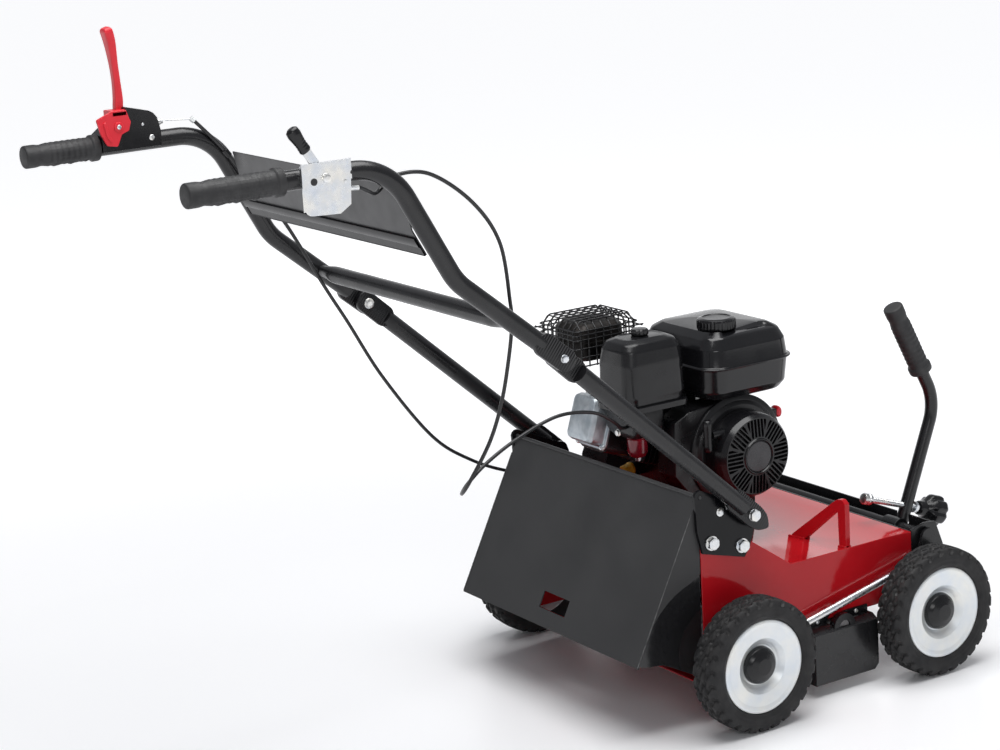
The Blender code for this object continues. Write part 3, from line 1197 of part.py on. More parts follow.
def slot_bar(centre, turn, offset, start, end, low, high):
    """Cutter for one slot whose long side points away from the centre."""
    outward = Vector((math.cos(turn), math.sin(turn)))
    across = Vector((-outward.y, outward.x))
    half = 0.0018
    reach = math.sqrt(max(end * end - offset * offset, 0.0))
    corners = [(start, offset - half), (reach, offset - half), (reach, offset + half), (start, offset + half)]
    outline = [(centre[0] + outward.x * a + across.x * b, centre[1] + outward.y * a + across.y * b)
               for a, b in corners]
    return prism("slot", outline, "x", low, high)


def tank_ring(z, grow, radius=0.034):
    """Tank outline at a height, grown or shrunk all round."""
    half = (TANK_SIZE[0] / 2 + grow, TANK_SIZE[1] / 2 + grow)
    outline = rounded_rectangle((TANK_X, TANK_Y), half, radius + grow, 3)
    return [(x, y, z) for x, y in outline]


def build_tank():
    """Pressed fuel tank with its seam flange and filler neck, and the ribbed cap."""
    low = TANK_BOTTOM_Z
    seam = low + 0.053
    high = low + TANK_HEIGHT
    shape = [(low, -0.020), (low + 0.008, -0.008), (seam - 0.0015, 0.0), (seam - 0.0015, 0.0045),
             (seam + 0.0015, 0.0045), (seam + 0.0015, 0.0), (high - 0.024, -0.004), (high - 0.012, -0.012),
             (high - 0.003, -0.026), (high, -0.034)]
    tank = loft("fuel_tank", [tank_ring(z, grow) for z, grow in shape])
    neck_x, neck_y = TANK_X + 0.040, TANK_Y - 0.026
    recess = cylinder("recess", "z", (neck_x, neck_y), CAP_RADIUS + 0.0014, high - 0.0075, high + 0.01, 36)
    neck = cylinder("neck", "z", (neck_x, neck_y), CAP_RADIUS - 0.006, high - 0.02, high - 0.0055, 20)
    cut(tank, [recess])
    combine(tank, [neck])
    place(tank, "engine_black")
    base = high - 0.0055 + GAP
    profile = [(0, base), (CAP_RADIUS, base), (CAP_RADIUS, base + 0.014), (CAP_RADIUS - 0.003, base + 0.017),
               (0.020, base + 0.0172), (0, base + 0.0165)]

    def ribs(index, step):
        radius = profile[index][0]
        return radius - (0.0012 if step % 2 and index in (1, 2) else 0.0)

    cap = revolve("fuel_cap", profile, "z", (neck_x, neck_y), 36, radius_of=ribs)
    place(cap, "engine_black", (neck_x, neck_y, base))


def build_intake():
    """Carburettor with its bowl and choke lever, air cleaner cover and its wing knob."""
    corner = Vector(CLEANER_CORNER)
    size = Vector(CLEANER_SIZE)
    centre = (corner.x + size.x / 2, corner.y + size.y / 2)
    shape = [(0.0, -0.004), (0.020, 0.0), (0.070, 0.0), (0.088, -0.003), (0.100, -0.012), (0.108, -0.026)]
    rings = []
    for rise, grow in shape:
        half = (size.x / 2 + grow, size.y / 2 + grow)
        outline = rounded_rectangle(centre, half, 0.016 + grow / 2, 3)
        rings.append([(x, y, corner.z + rise * size.z / 0.108) for x, y in outline])
    place(loft("air_cleaner_cover", rings), "engine_black")

    base = corner.z + size.z + GAP
    profile = [(0, base), (0.010, base), (0.011, base + 0.002), (0.011, base + 0.008), (0.008, base + 0.010),
               (0, base + 0.0105)]

    def wings(index, step):
        radius = profile[index][0]
        return radius - (0.0015 if step % 3 == 0 and index in (2, 3) else 0.0)

    knob = revolve("air_cleaner_knob", profile, "z", centre, 15, radius_of=wings)
    place(knob, "engine_black", (*centre, base))

    head_x = HEAD_X + HEAD_HALF + GAP
    body_top = corner.z - GAP
    carb = block("carburetor", (head_x, -0.018, 0.392), (CARB_END_X, 0.018, body_top))
    bowl = cylinder("bowl", "z", (CARB_END_X - 0.020, 0.0), 0.0165, 0.366, 0.394, 16)
    cuff = block("cuff", (CARB_END_X - 0.044, -0.028, body_top - 0.014), (CARB_END_X + 0.014, 0.030, body_top))
    stem = cylinder("stem", "x", (0.002, 0.410), 0.0025, CARB_END_X - 0.002, CARB_END_X + 0.0045, 10)
    combine(carb, [bowl, cuff, stem])
    place(carb, "aluminium")
    low = CARB_END_X + GAP
    lever = prism("choke_lever", capsule((0.002, 0.410), (0.006, 0.388), 0.0045, 5), "x", low, low + 0.003)
    cut(lever, [cylinder("bore", "x", (0.002, 0.410), 0.0025 + RUNNING_GAP, low - 0.01, low + 0.01, 10)])
    place(lever, "engine_black", (low, 0.002, 0.410))


def build_muffler():
    """Muffler box on its pipe from the cylinder head, inside a wire guard."""
    corner = Vector(MUFFLER_CORNER)
    size = Vector(MUFFLER_SIZE)
    centre = (corner.x + size.x / 2, corner.y + size.y / 2)
    rings = []
    for share, grow in ((0.0, -0.010), (0.12, -0.001), (0.46, 0.0), (0.48, 0.003), (0.52, 0.003), (0.54, 0.0),
                        (0.88, -0.001), (1.0, -0.010)):
        outline = rounded_rectangle(centre, (size.x / 2 + grow - 0.003, size.y / 2 + grow - 0.003), 0.020, 3)
        rings.append([(x, y, corner.z + share * size.z) for x, y in outline])
    muffler = loft("muffler", rings)
    along, across = cylinder_axis()
    middle = head_end() - 0.024
    start = Vector((HEAD_X - 0.0215, CRANK_Y + along.x * middle + across.x * (0.046 + GAP),
                    CRANK_Z + along.y * middle + across.y * (0.046 + GAP)))
    rise = (corner.z + 0.012 - start.z) / across.y
    end = start + Vector((0, across.x, across.y)) * rise
    reach = size.x / 2 + CAGE_MARGIN - CAGE_WIRE / 2 - GAP
    spacer_z = corner.z + (size.z + CAGE_MARGIN * 0.8) / 2
    spacer = cylinder("spacer", "x", (centre[1], spacer_z), 0.006, centre[0] - reach, centre[0] + reach, 12)
    combine(muffler, [tube("pipe", [start, end], 0.010, 14), spacer])
    place(muffler, "dark_steel")

    margin = CAGE_MARGIN
    low = corner - Vector((margin, margin, margin * 0.2))
    high = corner + size + Vector((margin, margin, margin))
    cells = (4, 6, 4)
    grid = bmesh.new()
    bmesh.ops.create_cube(grid, size=1.0)
    floor = [f for f in grid.faces if f.normal.z < -0.5]
    bmesh.ops.delete(grid, geom=floor, context="FACES_ONLY")
    for axis, count in enumerate(cells):
        for k in range(1, count):
            normal = Vector((0, 0, 0))
            normal[axis] = 1.0
            cut_at = Vector((0, 0, 0))
            cut_at[axis] = -0.5 + k / count
            everything = grid.verts[:] + grid.edges[:] + grid.faces[:]
            bmesh.ops.bisect_plane(grid, geom=everything, plane_co=cut_at, plane_no=normal)
    for vertex in grid.verts:
        x, y, z = vertex.co
        pull = 0.86 if z > 0.49 else 1.0
        if abs(x) > 0.49 and abs(y) > 0.49:
            pull *= 0.93
        vertex.co = Vector(((low.x + high.x) / 2 + x * pull * (high.x - low.x),
                            (low.y + high.y) / 2 + y * pull * (high.y - low.y),
                            (low.z + high.z) / 2 + z * (high.z - low.z)))
    mesh = bpy.data.meshes.new("muffler_guard")
    grid.to_mesh(mesh)
    grid.free()
    guard = bpy.data.objects.new("muffler_guard", mesh)
    bpy.context.scene.collection.objects.link(guard)
    wires = guard.modifiers.new("wires", "WIREFRAME")
    wires.thickness = CAGE_WIRE
    wires.use_even_offset = False
    wires.use_boundary = True
    wires.use_replace = True
    evaluated = guard.evaluated_get(bpy.context.evaluated_depsgraph_get())
    solid = bpy.data.meshes.new_from_object(evaluated)
    guard.modifiers.clear()
    guard.data = solid
    place(guard, "black_paint", smooth=60)


def smooth_route(points, spacing):
    """Evenly spaced points on a smooth curve through the route's own points."""
    points = np.array(points, dtype=float)
    padded = np.vstack([2 * points[0] - points[1], points, 2 * points[-1] - points[-2]])
    dense = []
    for k in range(1, len(padded) - 2):
        p0, p1, p2, p3 = padded[k - 1:k + 3]
        for t in np.linspace(0, 1, 24, endpoint=False):
            dense.append(0.5 * (2 * p1 + (p2 - p0) * t + (2 * p0 - 5 * p1 + 4 * p2 - p3) * t ** 2
                                + (3 * p1 - p0 - 3 * p2 + p3) * t ** 3))
    dense.append(padded[-2])
    dense = np.array(dense)
    travelled = np.concatenate([[0], np.cumsum(np.linalg.norm(np.diff(dense, axis=0), axis=1))])
    count = int(round(travelled[-1] / spacing)) + 1
    wanted = np.linspace(0, travelled[-1], count)
    even = np.stack([np.interp(wanted, travelled, dense[:, i]) for i in range(3)], axis=1)
    print("route length", round(float(travelled[-1]), 3), "points", count)
    return even


def build_cable(name, route, radius, spacing):
    """Cable along its route, as a bevelled curve with filled ends."""
    points = smooth_route(route, spacing)
    curve = bpy.data.curves.new(name, "CURVE")
    curve.dimensions = "3D"
    curve.bevel_depth = radius
    curve.bevel_resolution = 2
    curve.render_resolution_u = 0
    curve.use_fill_caps = True
    spline = curve.splines.new("POLY")
    spline.points.add(len(points) - 1)
    for target, point in zip(spline.points, points):
        target.co = (*map(float, point), 1.0)
    curve.materials.append(material("rubber"))
    made = bpy.data.objects.new(name, curve)
    bpy.context.scene.collection.objects.link(made)
    made.parent = MACHINE


CABLE_BOSS = (0.112, 0.272)
CABLE_RADIUS = 0.0027
CLUTCH_ROUTE = [(-0.257, -0.6065, 0.922), (-0.2545, -0.585, 0.923), (-0.2460, -0.560, 0.910),
                (-0.2380, -0.5375, 0.880), (-0.2366, -0.500, 0.832), (-0.2366, -0.437, 0.756),
                (-0.2366, -0.3760, 0.645), (-0.2370, -0.342, 0.5865), (-0.2400, -0.286, 0.489),
                (-0.2470, -0.203, 0.379), (-0.2510, -0.134, 0.326), (-0.2525, -0.060, 0.291),
                (-0.2525, 0.010, 0.276), (-0.2525, 0.060, 0.270), (-0.2490, 0.092, 0.270),
                (-0.2430, 0.1055, 0.272), (-0.2388, 0.112, 0.272)]
THROTTLE_ROUTE = [(0.2713, -0.5863, 0.8775), (0.2675, -0.574, 0.8715), (0.2570, -0.558, 0.8645),
                  (0.2430, -0.541, 0.8655), (0.2340, -0.514, 0.8790), (0.2310, -0.459, 0.8740),
                  (0.2280, -0.395, 0.8280), (0.2200, -0.350, 0.7650), (0.2080, -0.3315, 0.6780),
                  (0.2050, -0.3290, 0.6500), (0.2000, -0.3330, 0.6050),
                  (0.1900, -0.343, 0.5400), (0.1750, -0.357, 0.4820), (0.1560, -0.383, 0.4240),
                  (0.1250, -0.378, 0.4000), (0.1000, -0.352, 0.4040), (0.0860, -0.310, 0.4230),
                  (0.0780, -0.250, 0.4460), (0.0720, -0.176, 0.4640), (0.0660, -0.110, 0.4560),
                  (0.0560, -0.068, 0.4330), (0.0400, -0.042, 0.4150), (0.0300, -0.0215, 0.4100)]

clear_scene()
MACHINE = bpy.data.objects.new("machine", None)
bpy.context.scene.collection.objects.link(MACHINE)
MACHINE.location = (0, REAR_AXLE_Y, 0)

build_deck()
build_guards()
build_channel()
build_lift_strap()
build_belt_drive()
build_belt_cover()
build_rotor()
build_axle("rear_axle", REAR_PIVOT, (0.0, WHEEL_RADIUS), REAR_ROD_EYE)
build_axle("front_axle", FRONT_PIVOT, (WHEELBASE, WHEEL_RADIUS), FRONT_ROD_EYE)
build_tie_rod()
build_height_lever()
for end_label, axle_y in (("rear", 0.0), ("front", WHEELBASE)):
    for side_label, side_sign in (("right", 1), ("left", -1)):
        build_wheel(end_label + "_" + side_label, side_sign, axle_y)
build_engine_block()
build_blower()
build_tank()
build_intake()
build_muffler()
for side_label, side_sign in (("right", 1), ("left", -1)):
    build_bracket(side_label, side_sign)
    build_strut(side_label, side_sign)
    build_upper_tube(side_label, side_sign)
    build_grip(side_label, side_sign)
build_console()
build_clutch_controls()
build_throttle_controls()
build_flap()
build_cable("clutch_cable", CLUTCH_ROUTE, CABLE_RADIUS, 0.028)
build_cable("throttle_cable", THROTTLE_ROUTE, CABLE_RADIUS, 0.026)
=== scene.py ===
# %% [markdown]
# # A petrol lawn aerator, dressed
# The machine is a red pressed deck on four wheels, with a small black engine on top, a bladed rotor under
# it and a tubular handle in two folding halves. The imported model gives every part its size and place.
# This file puts the finish on it: smooth tubes, lugged tyres, bolts, wires, and the paint, rubber and
# zinc.

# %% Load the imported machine
import math

import bmesh
import bpy
import numpy as np
from mathutils import Matrix, Vector


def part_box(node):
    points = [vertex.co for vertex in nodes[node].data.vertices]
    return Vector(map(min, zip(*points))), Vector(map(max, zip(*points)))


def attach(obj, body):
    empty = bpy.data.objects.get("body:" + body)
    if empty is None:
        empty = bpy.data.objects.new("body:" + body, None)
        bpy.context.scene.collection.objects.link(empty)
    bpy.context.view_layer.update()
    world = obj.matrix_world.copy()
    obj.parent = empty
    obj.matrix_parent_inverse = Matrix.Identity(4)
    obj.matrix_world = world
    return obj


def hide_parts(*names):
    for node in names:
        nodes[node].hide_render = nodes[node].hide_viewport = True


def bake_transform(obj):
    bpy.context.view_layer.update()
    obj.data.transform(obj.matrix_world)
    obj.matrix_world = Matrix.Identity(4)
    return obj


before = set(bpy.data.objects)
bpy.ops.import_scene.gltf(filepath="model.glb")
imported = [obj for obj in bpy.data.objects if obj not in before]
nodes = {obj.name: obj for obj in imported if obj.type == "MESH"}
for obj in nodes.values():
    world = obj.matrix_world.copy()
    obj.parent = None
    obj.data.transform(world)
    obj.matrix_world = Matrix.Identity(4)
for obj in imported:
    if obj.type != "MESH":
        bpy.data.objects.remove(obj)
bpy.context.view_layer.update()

# %% [markdown]
# Every length along the machine is counted from the rear wheels' axle, as on a workshop drawing. The
# whole machine sits a little ahead of that in the scene, so each finished mesh is moved forward by one
# number.

# %% The drawing's own zero
REAR_AXLE_Y = 0.169


def node_box(name):
    """Lowest and highest corner of a CAD part, counted from the rear axle."""
    low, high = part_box(name)
    return np.array(low) - (0, REAR_AXLE_Y, 0), np.array(high) - (0, REAR_AXLE_Y, 0)


# %% [markdown]
# The camera comes first. It stands about 58 degrees round to the right of the machine's rear and a little
# above it, far off with a long lens, and leans by a few degrees. The lens follows from the picture's
# scale in pixels, because a sensor 36 mm wide covers a picture 1000 pixels wide. It could be turned by
# hand in the viewport, but numbers can be aimed again exactly.

# %% The camera
AZIMUTH = 1.011607
ELEVATION = 0.235692
LEAN = -0.060980
DISTANCE = 3.806573
PIXEL_SCALE = 2440.449
SHIFT_RIGHT = -0.219377
SHIFT_UP = 0.467671
PICTURE_WIDTH = 1000


def aim_camera():
    """Camera at distance * back, moved along its own right and up, its axes turned by the lean."""
    back = Vector((math.sin(AZIMUTH) * math.cos(ELEVATION), -math.cos(AZIMUTH) * math.cos(ELEVATION),
                   math.sin(ELEVATION)))
    level = Vector((0, 0, 1)).cross(back).normalized()
    above = back.cross(level)
    right = level * math.cos(LEAN) + above * math.sin(LEAN)
    up = above * math.cos(LEAN) - level * math.sin(LEAN)
    data = bpy.data.cameras.new("camera")
    data.sensor_width = 36
    data.lens = PIXEL_SCALE * data.sensor_width / PICTURE_WIDTH
    data.clip_end = 100
    camera = bpy.data.objects.new("camera", data)
    bpy.context.scene.collection.objects.link(camera)
    matrix = Matrix((right, up, back)).transposed().to_4x4()
    matrix.translation = back * DISTANCE + right * SHIFT_RIGHT + up * SHIFT_UP + Vector((0, REAR_AXLE_Y, 0))
    camera.matrix_world = matrix
    bpy.context.scene.camera = camera
    print("lens", round(data.lens, 2), "mm, camera height", round(matrix.translation.z, 3), "m")


aim_camera()

# %% [markdown]
# A catalogue photograph like this is taken in a white room, on a pale floor that runs on behind the
# machine. One flat quad is enough for that. It is lit as the machine is, so it takes the shadow, and it
# glows far out, where it would otherwise turn grey.

# %% The floor
def add_floor():
    """One large pale quad under the wheels. Its paint glows more the further it is from the machine, as a
    studio's swept backdrop does, so that it runs on white behind and keeps the shadow under the wheels."""
    size = 40.0
    mesh = bpy.data.meshes.new("floor")
    corners = np.array([(-1, -1, 0), (1, -1, 0), (1, 1, 0), (-1, 1, 0)], float) * size
    mesh.from_pydata(corners.tolist(), [], [(0, 1, 2, 3)])
    floor = bpy.data.objects.new("floor", mesh)
    bpy.context.scene.collection.objects.link(floor)
    paint = bpy.data.materials.new("floor_paint")
    paint.use_nodes = True
    shader = paint.node_tree.nodes["Principled BSDF"]
    shader.inputs["Base Color"].default_value = (0.93, 0.93, 0.94, 1)
    shader.inputs["Roughness"].default_value = 0.35
    tree = paint.node_tree
    place = tree.nodes.new("ShaderNodeTexCoord")
    away = tree.nodes.new("ShaderNodeVectorMath")
    away.operation = "LENGTH"
    glow = tree.nodes.new("ShaderNodeMapRange")
    glow.interpolation_type = "SMOOTHSTEP"
    for key, number in (("From Min", 0.55), ("From Max", 3.4), ("To Min", 0.0), ("To Max", 0.66)):
        glow.inputs[key].default_value = number
    tree.links.new(place.outputs["Object"], away.inputs[0])
    tree.links.new(away.outputs["Value"], glow.inputs["Value"])
    tree.links.new(glow.outputs[0], shader.inputs["Emission Strength"])
    shader.inputs["Emission Color"].default_value = (1, 1, 1, 1)
    mesh.materials.append(paint)
    print("floor", 2 * size, "m wide")


add_floor()

# %% [markdown]
# One large soft box overhead draws a bright line along each tube. The room behind the camera is dimmer,
# or black paint would look grey. The world is white where the camera sees it and dimmer as a light, and a
# wide lit screen stands behind the machine. A panorama picture could light it too, but this file reads no
# pictures.

# %% Studio light
def add_light(name, place, target, size, power):
    """Area light that faces a target and isn't seen itself."""
    data = bpy.data.lights.new(name, "AREA")
    data.shape = "RECTANGLE"
    data.size, data.size_y = size
    data.energy = power
    light = bpy.data.objects.new(name, data)
    light.location = place
    light.visible_camera = False
    light.rotation_mode = "QUATERNION"
    light.rotation_quaternion = (Vector(target) - Vector(place)).to_track_quat("-Z", "Y")
    bpy.context.scene.collection.objects.link(light)
    print("light", name, "with", power, "watts")


def light_studio():
    """Backdrop white to the eye and dimmer as light, soft box overhead, weak fill, lit screen behind."""
    world = bpy.data.worlds.new("studio")
    world.use_nodes = True
    tree = world.node_tree
    backdrop = tree.nodes["Background"]
    backdrop.inputs["Color"].default_value = (1, 1, 1, 1)
    room = tree.nodes.new("ShaderNodeBackground")
    room.inputs["Color"].default_value = (0.93, 0.95, 1.0, 1)
    room.inputs["Strength"].default_value = 0.34
    choice = tree.nodes.new("ShaderNodeMixShader")
    tree.links.new(tree.nodes.new("ShaderNodeLightPath").outputs["Is Camera Ray"], choice.inputs[0])
    tree.links.new(room.outputs[0], choice.inputs[1])
    tree.links.new(backdrop.outputs[0], choice.inputs[2])
    tree.links.new(choice.outputs[0], tree.nodes["World Output"].inputs["Surface"])
    scene = bpy.context.scene
    scene.world = world
    scene.view_settings.view_transform = "Standard"
    add_light("soft_box", (0.3, 0.1, 2.9), (0, 0.1, 0.2), (2.6, 2.0), 84)
    add_light("fill", (3.2, -1.4, 1.8), (0, 0.1, 0.4), (1.4, 1.0), 16)
    add_light("screen", (-3.4, 2.3, 1.3), (0, 0, 0.5), (4.4, 2.2), 17)


light_studio()

# %% [markdown]
# ## Surfaces as arrays
# Almost every piece here is one of a few kinds of surface: a loop of points carried along a path, a
# profile turned about an axis, or an outline drawn out to a thickness. Each is worked out as one numpy
# array of rows and columns, and the faces follow from the grid's own numbering. That is quick, exact and
# easy to change.

# %% Grids and closed bodies
def unit(vectors):
    """Vectors divided by their lengths."""
    vectors = np.asarray(vectors, float)
    return vectors / np.linalg.norm(vectors, axis=-1, keepdims=True)


def grid_faces(rows, columns, ring=False):
    """Quads from each point to the next row and column. Columns close on themselves, a ring's rows too."""
    last = rows if ring else rows - 1
    i, j = np.meshgrid(np.arange(last), np.arange(columns), indexing="ij")
    below, beside = (i + 1) % rows, (j + 1) % columns
    corners = [i * columns + j, i * columns + beside, below * columns + beside, below * columns + j]
    return np.stack(corners, -1).reshape(-1, 4).tolist()


def closed(rows):
    """Body through rows of points, each row a closed loop, its ends drawn together at the end rows' means."""
    poles = rows[[0, -1]].mean(1, keepdims=True).repeat(rows.shape[1], 1)
    rows = np.concatenate([poles[:1], rows, poles[1:]])
    return rows.reshape(-1, 3), grid_faces(*rows.shape[:2])


def ring(rows):
    """Body whose rows close on themselves too, like a tyre."""
    return rows.reshape(-1, 3), grid_faces(*rows.shape[:2], ring=True)


ACROSS = {"x": (1, 2, 0), "y": (0, 2, 1), "z": (0, 1, 2)}


def prism(outline, axis, low, high):
    """Outline of (u, v) points drawn out along an axis: its copies at low and high, and a wall between."""
    outline = np.asarray(outline, float)
    count = len(outline)
    points = np.empty((2, count, 3))
    u, v, along = ACROSS[axis]
    points[..., u] = outline[:, 0]
    points[..., v] = outline[:, 1]
    points[..., along] = np.array([[low], [high]])
    return points.reshape(-1, 3), grid_faces(2, count) + [list(range(count)), list(range(count, 2 * count))]


# %% [markdown]
# Real corners are never knife sharp. A bent tube turns through an arc, and a moulded edge has a small
# radius. One function rounds the corners of any line, in the plane or in space, and serves both. A Bevel
# modifier could do it on the mesh, but a line is rounded exactly and at no cost.

# %% Rounded lines
def rounded(corners, radius, steps=5):
    """Line whose inner corners are arcs that start radius * tan(turn / 2) before each corner."""
    corners = np.asarray(corners, float)
    parts = [corners[:1]]
    for before, corner, after in zip(corners, corners[1:], corners[2:]):
        back, ahead = before - corner, after - corner
        room = 0.49 * min(np.linalg.norm(back), np.linalg.norm(ahead))
        back, ahead = unit(back), unit(ahead)
        turn = math.pi - math.acos(np.clip(back @ ahead, -1, 1))
        if turn < 0.02:
            parts.append(corner[None])
            continue
        reach = min(radius * math.tan(turn / 2), room)
        middle = corner + unit(back + ahead) * (reach / math.tan(turn / 2) / math.cos(turn / 2))
        start, end = corner + back * reach - middle, corner + ahead * reach - middle
        share = np.linspace(0, 1, steps + 1)[:, None]
        arc = start * np.sin((1 - share) * turn) + end * np.sin(share * turn)
        parts.append(middle + arc / math.sin(turn))
    parts.append(corners[-1:])
    return np.concatenate(parts)


def rounded_loop(corners, radius, steps=4):
    """The same for a loop: it starts and ends in the middle of its last side."""
    corners = np.asarray(corners, float)
    middle = (corners[-1:] + corners[:1]) / 2
    return rounded(np.concatenate([middle, corners, middle]), radius, steps)[:-1]


def resampled(line, count):
    """The same line as a number of evenly spaced points."""
    travelled = np.concatenate([[0], np.cumsum(np.linalg.norm(np.diff(line, axis=0), axis=1))])
    wanted = np.linspace(0, travelled[-1], count)
    return np.stack([np.interp(wanted, travelled, line[:, k]) for k in range(line.shape[1])], 1)


# %% [markdown]
# A circle is the cosine and sine of evenly spaced angles, times a radius. Quarter circles about four
# inner corners make a box with soft corners, and half circles about two ends make a flat bar.

# %% Circles and boxes
def all_round(steps):
    """Evenly spaced angles round one turn, from 0."""
    return np.linspace(0, 2 * np.pi, steps, endpoint=False)


def polar(radius, angle):
    """Points (radius * cos a, radius * sin a)."""
    return np.stack([radius * np.cos(angle), radius * np.sin(angle)], -1)


def circle(radius, steps=32):
    """Round loop of a number of points."""
    return polar(radius, all_round(steps))


def rounded_box(half_u, half_v, radius, steps=6):
    """Loop round a rectangle with round corners, as quarter circles about the four inner corners."""
    angle = np.linspace(0, np.pi / 2, steps + 1)
    angle = (angle[None] + np.arange(4)[:, None] * np.pi / 2).ravel()
    sign_u = np.repeat([1, -1, -1, 1], steps + 1)
    sign_v = np.repeat([1, 1, -1, -1], steps + 1)
    return np.stack([sign_u * (half_u - radius), sign_v * (half_v - radius)], 1) + polar(radius, angle)


def capsule(start, end, radius, steps=10):
    """Loop round a flat bar with half circles about both ends."""
    start, end = np.asarray(start, float), np.asarray(end, float)
    lead = math.atan2(end[1] - start[1], end[0] - start[0])
    angle = lead + np.linspace(-np.pi / 2, np.pi / 2, steps + 1)
    half = polar(radius, angle)
    return np.concatenate([end + half, start - half])


# %% [markdown]
# A lathe turns a profile about an axis, and a bent tube is a loop carried along a line. In numpy both are
# one sum: a place on the line plus two directions across it, each times how far the loop reaches that
# way. Blender's Screw modifier and curve objects could do it too, but not with a loop that changes its
# shape on the way.

# %% Turned and swept surfaces
def turned(profile, axis, centre, steps=48, share=1.0):
    """Profile of (radius, along) about an axis: centre + radius * share * (cos a, sin a), at its along."""
    profile = np.asarray(profile, float)
    angle = all_round(steps)
    radius = profile[:, :1] * share * np.ones((1, steps))
    points = np.empty((len(profile), steps, 3))
    u, v, along = ACROSS[axis]
    points[..., u] = centre[0] + radius * np.cos(angle)
    points[..., v] = centre[1] + radius * np.sin(angle)
    points[..., along] = profile[:, 1:]
    return points


def set_out(path, side, up, loops):
    """Loops of (u, v) beside a path: point = path + u * side + v * up."""
    return path[:, None] + side * loops[..., :1] + up * loops[..., 1:]


def crosswise(direction):
    """Two directions square to a given one and to each other, the first as near to the x axis as can be."""
    across = np.array((1.0, 0, 0)) if abs(direction[0]) < 0.9 else np.array((0, 1.0, 0))
    side = unit(across - direction * (across @ direction))
    return side, np.cross(direction, side)


def swept(path, outline, across=(1, 0, 0)):
    """Outline (u, v) along a path: point = path + u * side + v * up. The tangent is the path's gradient, side
    is the given direction made square to it, and up is square to both. Each row may have its own outline."""
    path, outline, across = (np.asarray(a, float) for a in (path, outline, across))
    steps = np.diff(path, axis=0)
    tangent = unit(np.concatenate([steps[:1], unit(steps[:-1]) + unit(steps[1:]), steps[-1:]]))
    side = unit(across - (tangent @ across)[:, None] * tangent)
    up = np.cross(tangent, side)
    if outline.ndim == 2:
        outline = outline[None]
    return set_out(path, side[:, None], up[:, None], outline)


def tube(path, radius, steps=32, across=(1, 0, 0)):
    """Round bar along a path, closed at both ends."""
    return closed(swept(path, circle(radius, steps), across))


# %% [markdown]
# The same sum serves a turned body that stands anywhere and at any angle, such as a bolt's head, and a
# moulded cover, which is a stack of level boxes with soft corners, each a little larger or smaller.

# %% Stacked surfaces
def stepped_bar(start, end, profile, steps=32):
    """Turned body between two points: profile of (share of the length, radius)."""
    start, end, profile = (np.asarray(a, float) for a in (start, end, profile))
    side, up = crosswise(unit(end - start))
    path = start + (end - start) * profile[:, :1]
    return closed(set_out(path, side, up, profile[:, 1, None, None] * circle(1.0, steps)))


def stacked(place, direction, rows, steps=48):
    """Body standing on a point along a direction, from rows of (height, one radius or one for each angle)."""
    direction = unit(direction)
    side, up = crosswise(direction)
    radii = np.array([np.broadcast_to(radius, steps) for _, radius in rows])[..., None]
    path = np.asarray(place, float) + direction * np.array([height for height, _ in rows])[:, None]
    return closed(set_out(path, side, up, circle(1.0, steps) * radii))


def level_rows(centre, loops, heights):
    """Flat loops about a centre, each lifted to its height."""
    rows = np.empty((*loops.shape[:2], 3))
    rows[..., :2] = loops + centre
    rows[..., 2] = np.asarray(heights)[:, None]
    return rows


def box_loft(centre, levels, corner, steps=8):
    """Stack of rounded boxes about a centre: levels of (height, half length, half width)."""
    loops = np.stack([rounded_box(u, v, min(corner, u * 0.95, v * 0.95), steps) for _, u, v in levels])
    return level_rows(centre, loops, [z for z, _, _ in levels])


# %% [markdown]
# A finished piece is one mesh with one finish. Its doubles are merged, so that poles and seams are
# closed, its faces are turned outwards, and edges sharper than a given angle stay crisp. A bevel rounds
# those edges.

# %% From arrays to a piece
FINISHES = {}


def round_edges(target, width):
    """Bevel the edges that turn by more than 35 degrees."""
    bevel = target.modifiers.new("edges", "BEVEL")
    bevel.width = width
    bevel.segments = 2
    bevel.limit_method = "ANGLE"
    bevel.angle_limit = math.radians(35)


def piece(name, shapes, finish, body, replaces=(), smooth=40, edge=0.0):
    """One mesh from closed shapes, moved to its place in the scene, riding on a body."""
    points = np.concatenate([shape[0] for shape in shapes]) + (0, REAR_AXLE_Y, 0)
    faces = []
    base = 0
    for shape_points, shape_faces in shapes:
        faces += [[base + corner for corner in face] for face in shape_faces]
        base += len(shape_points)
    mesh = bpy.data.meshes.new(name)
    mesh.from_pydata(points.tolist(), [], faces)
    work = bmesh.new()
    work.from_mesh(mesh)
    bmesh.ops.remove_doubles(work, verts=work.verts, dist=2e-7)
    bmesh.ops.recalc_face_normals(work, faces=work.faces)
    work.to_mesh(mesh)
    work.free()
    mesh.shade_smooth()
    mesh.set_sharp_from_angle(angle=math.radians(smooth))
    mesh.materials.append(FINISHES[finish])
    made = bpy.data.objects.new(name, mesh)
    bpy.context.scene.collection.objects.link(made)
    if edge:
        round_edges(made, edge)
    print("made", name, "with", len(mesh.polygons), "faces")
    if body:
        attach(made, body)
    if replaces:
        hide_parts(*replaces)
    return made


def dress(name, finish, edge=0.0006):
    """Give a CAD part its finish, and round its edges with modifiers that leave its own mesh alone."""
    node = nodes[name]
    node.data.materials.clear()
    node.data.materials.append(FINISHES[finish])
    if edge:
        weld = node.modifiers.new("weld", "WELD")
        weld.merge_threshold = 0.00001
        round_edges(node, edge)
        shading = node.modifiers.new("shading", "WEIGHTED_NORMAL")
        shading.weight = 50
    print("dressed", name, "in", finish)


# %% [markdown]
# ## Finishes
# Each finish is a Principled shader with patterns worked out from the surface's own place in metres. A
# small class keeps the wiring short: cloudy noise, fine grain, a range for a value, a mix of two colours,
# a bump. A picture texture would blur close up, and a pattern doesn't.

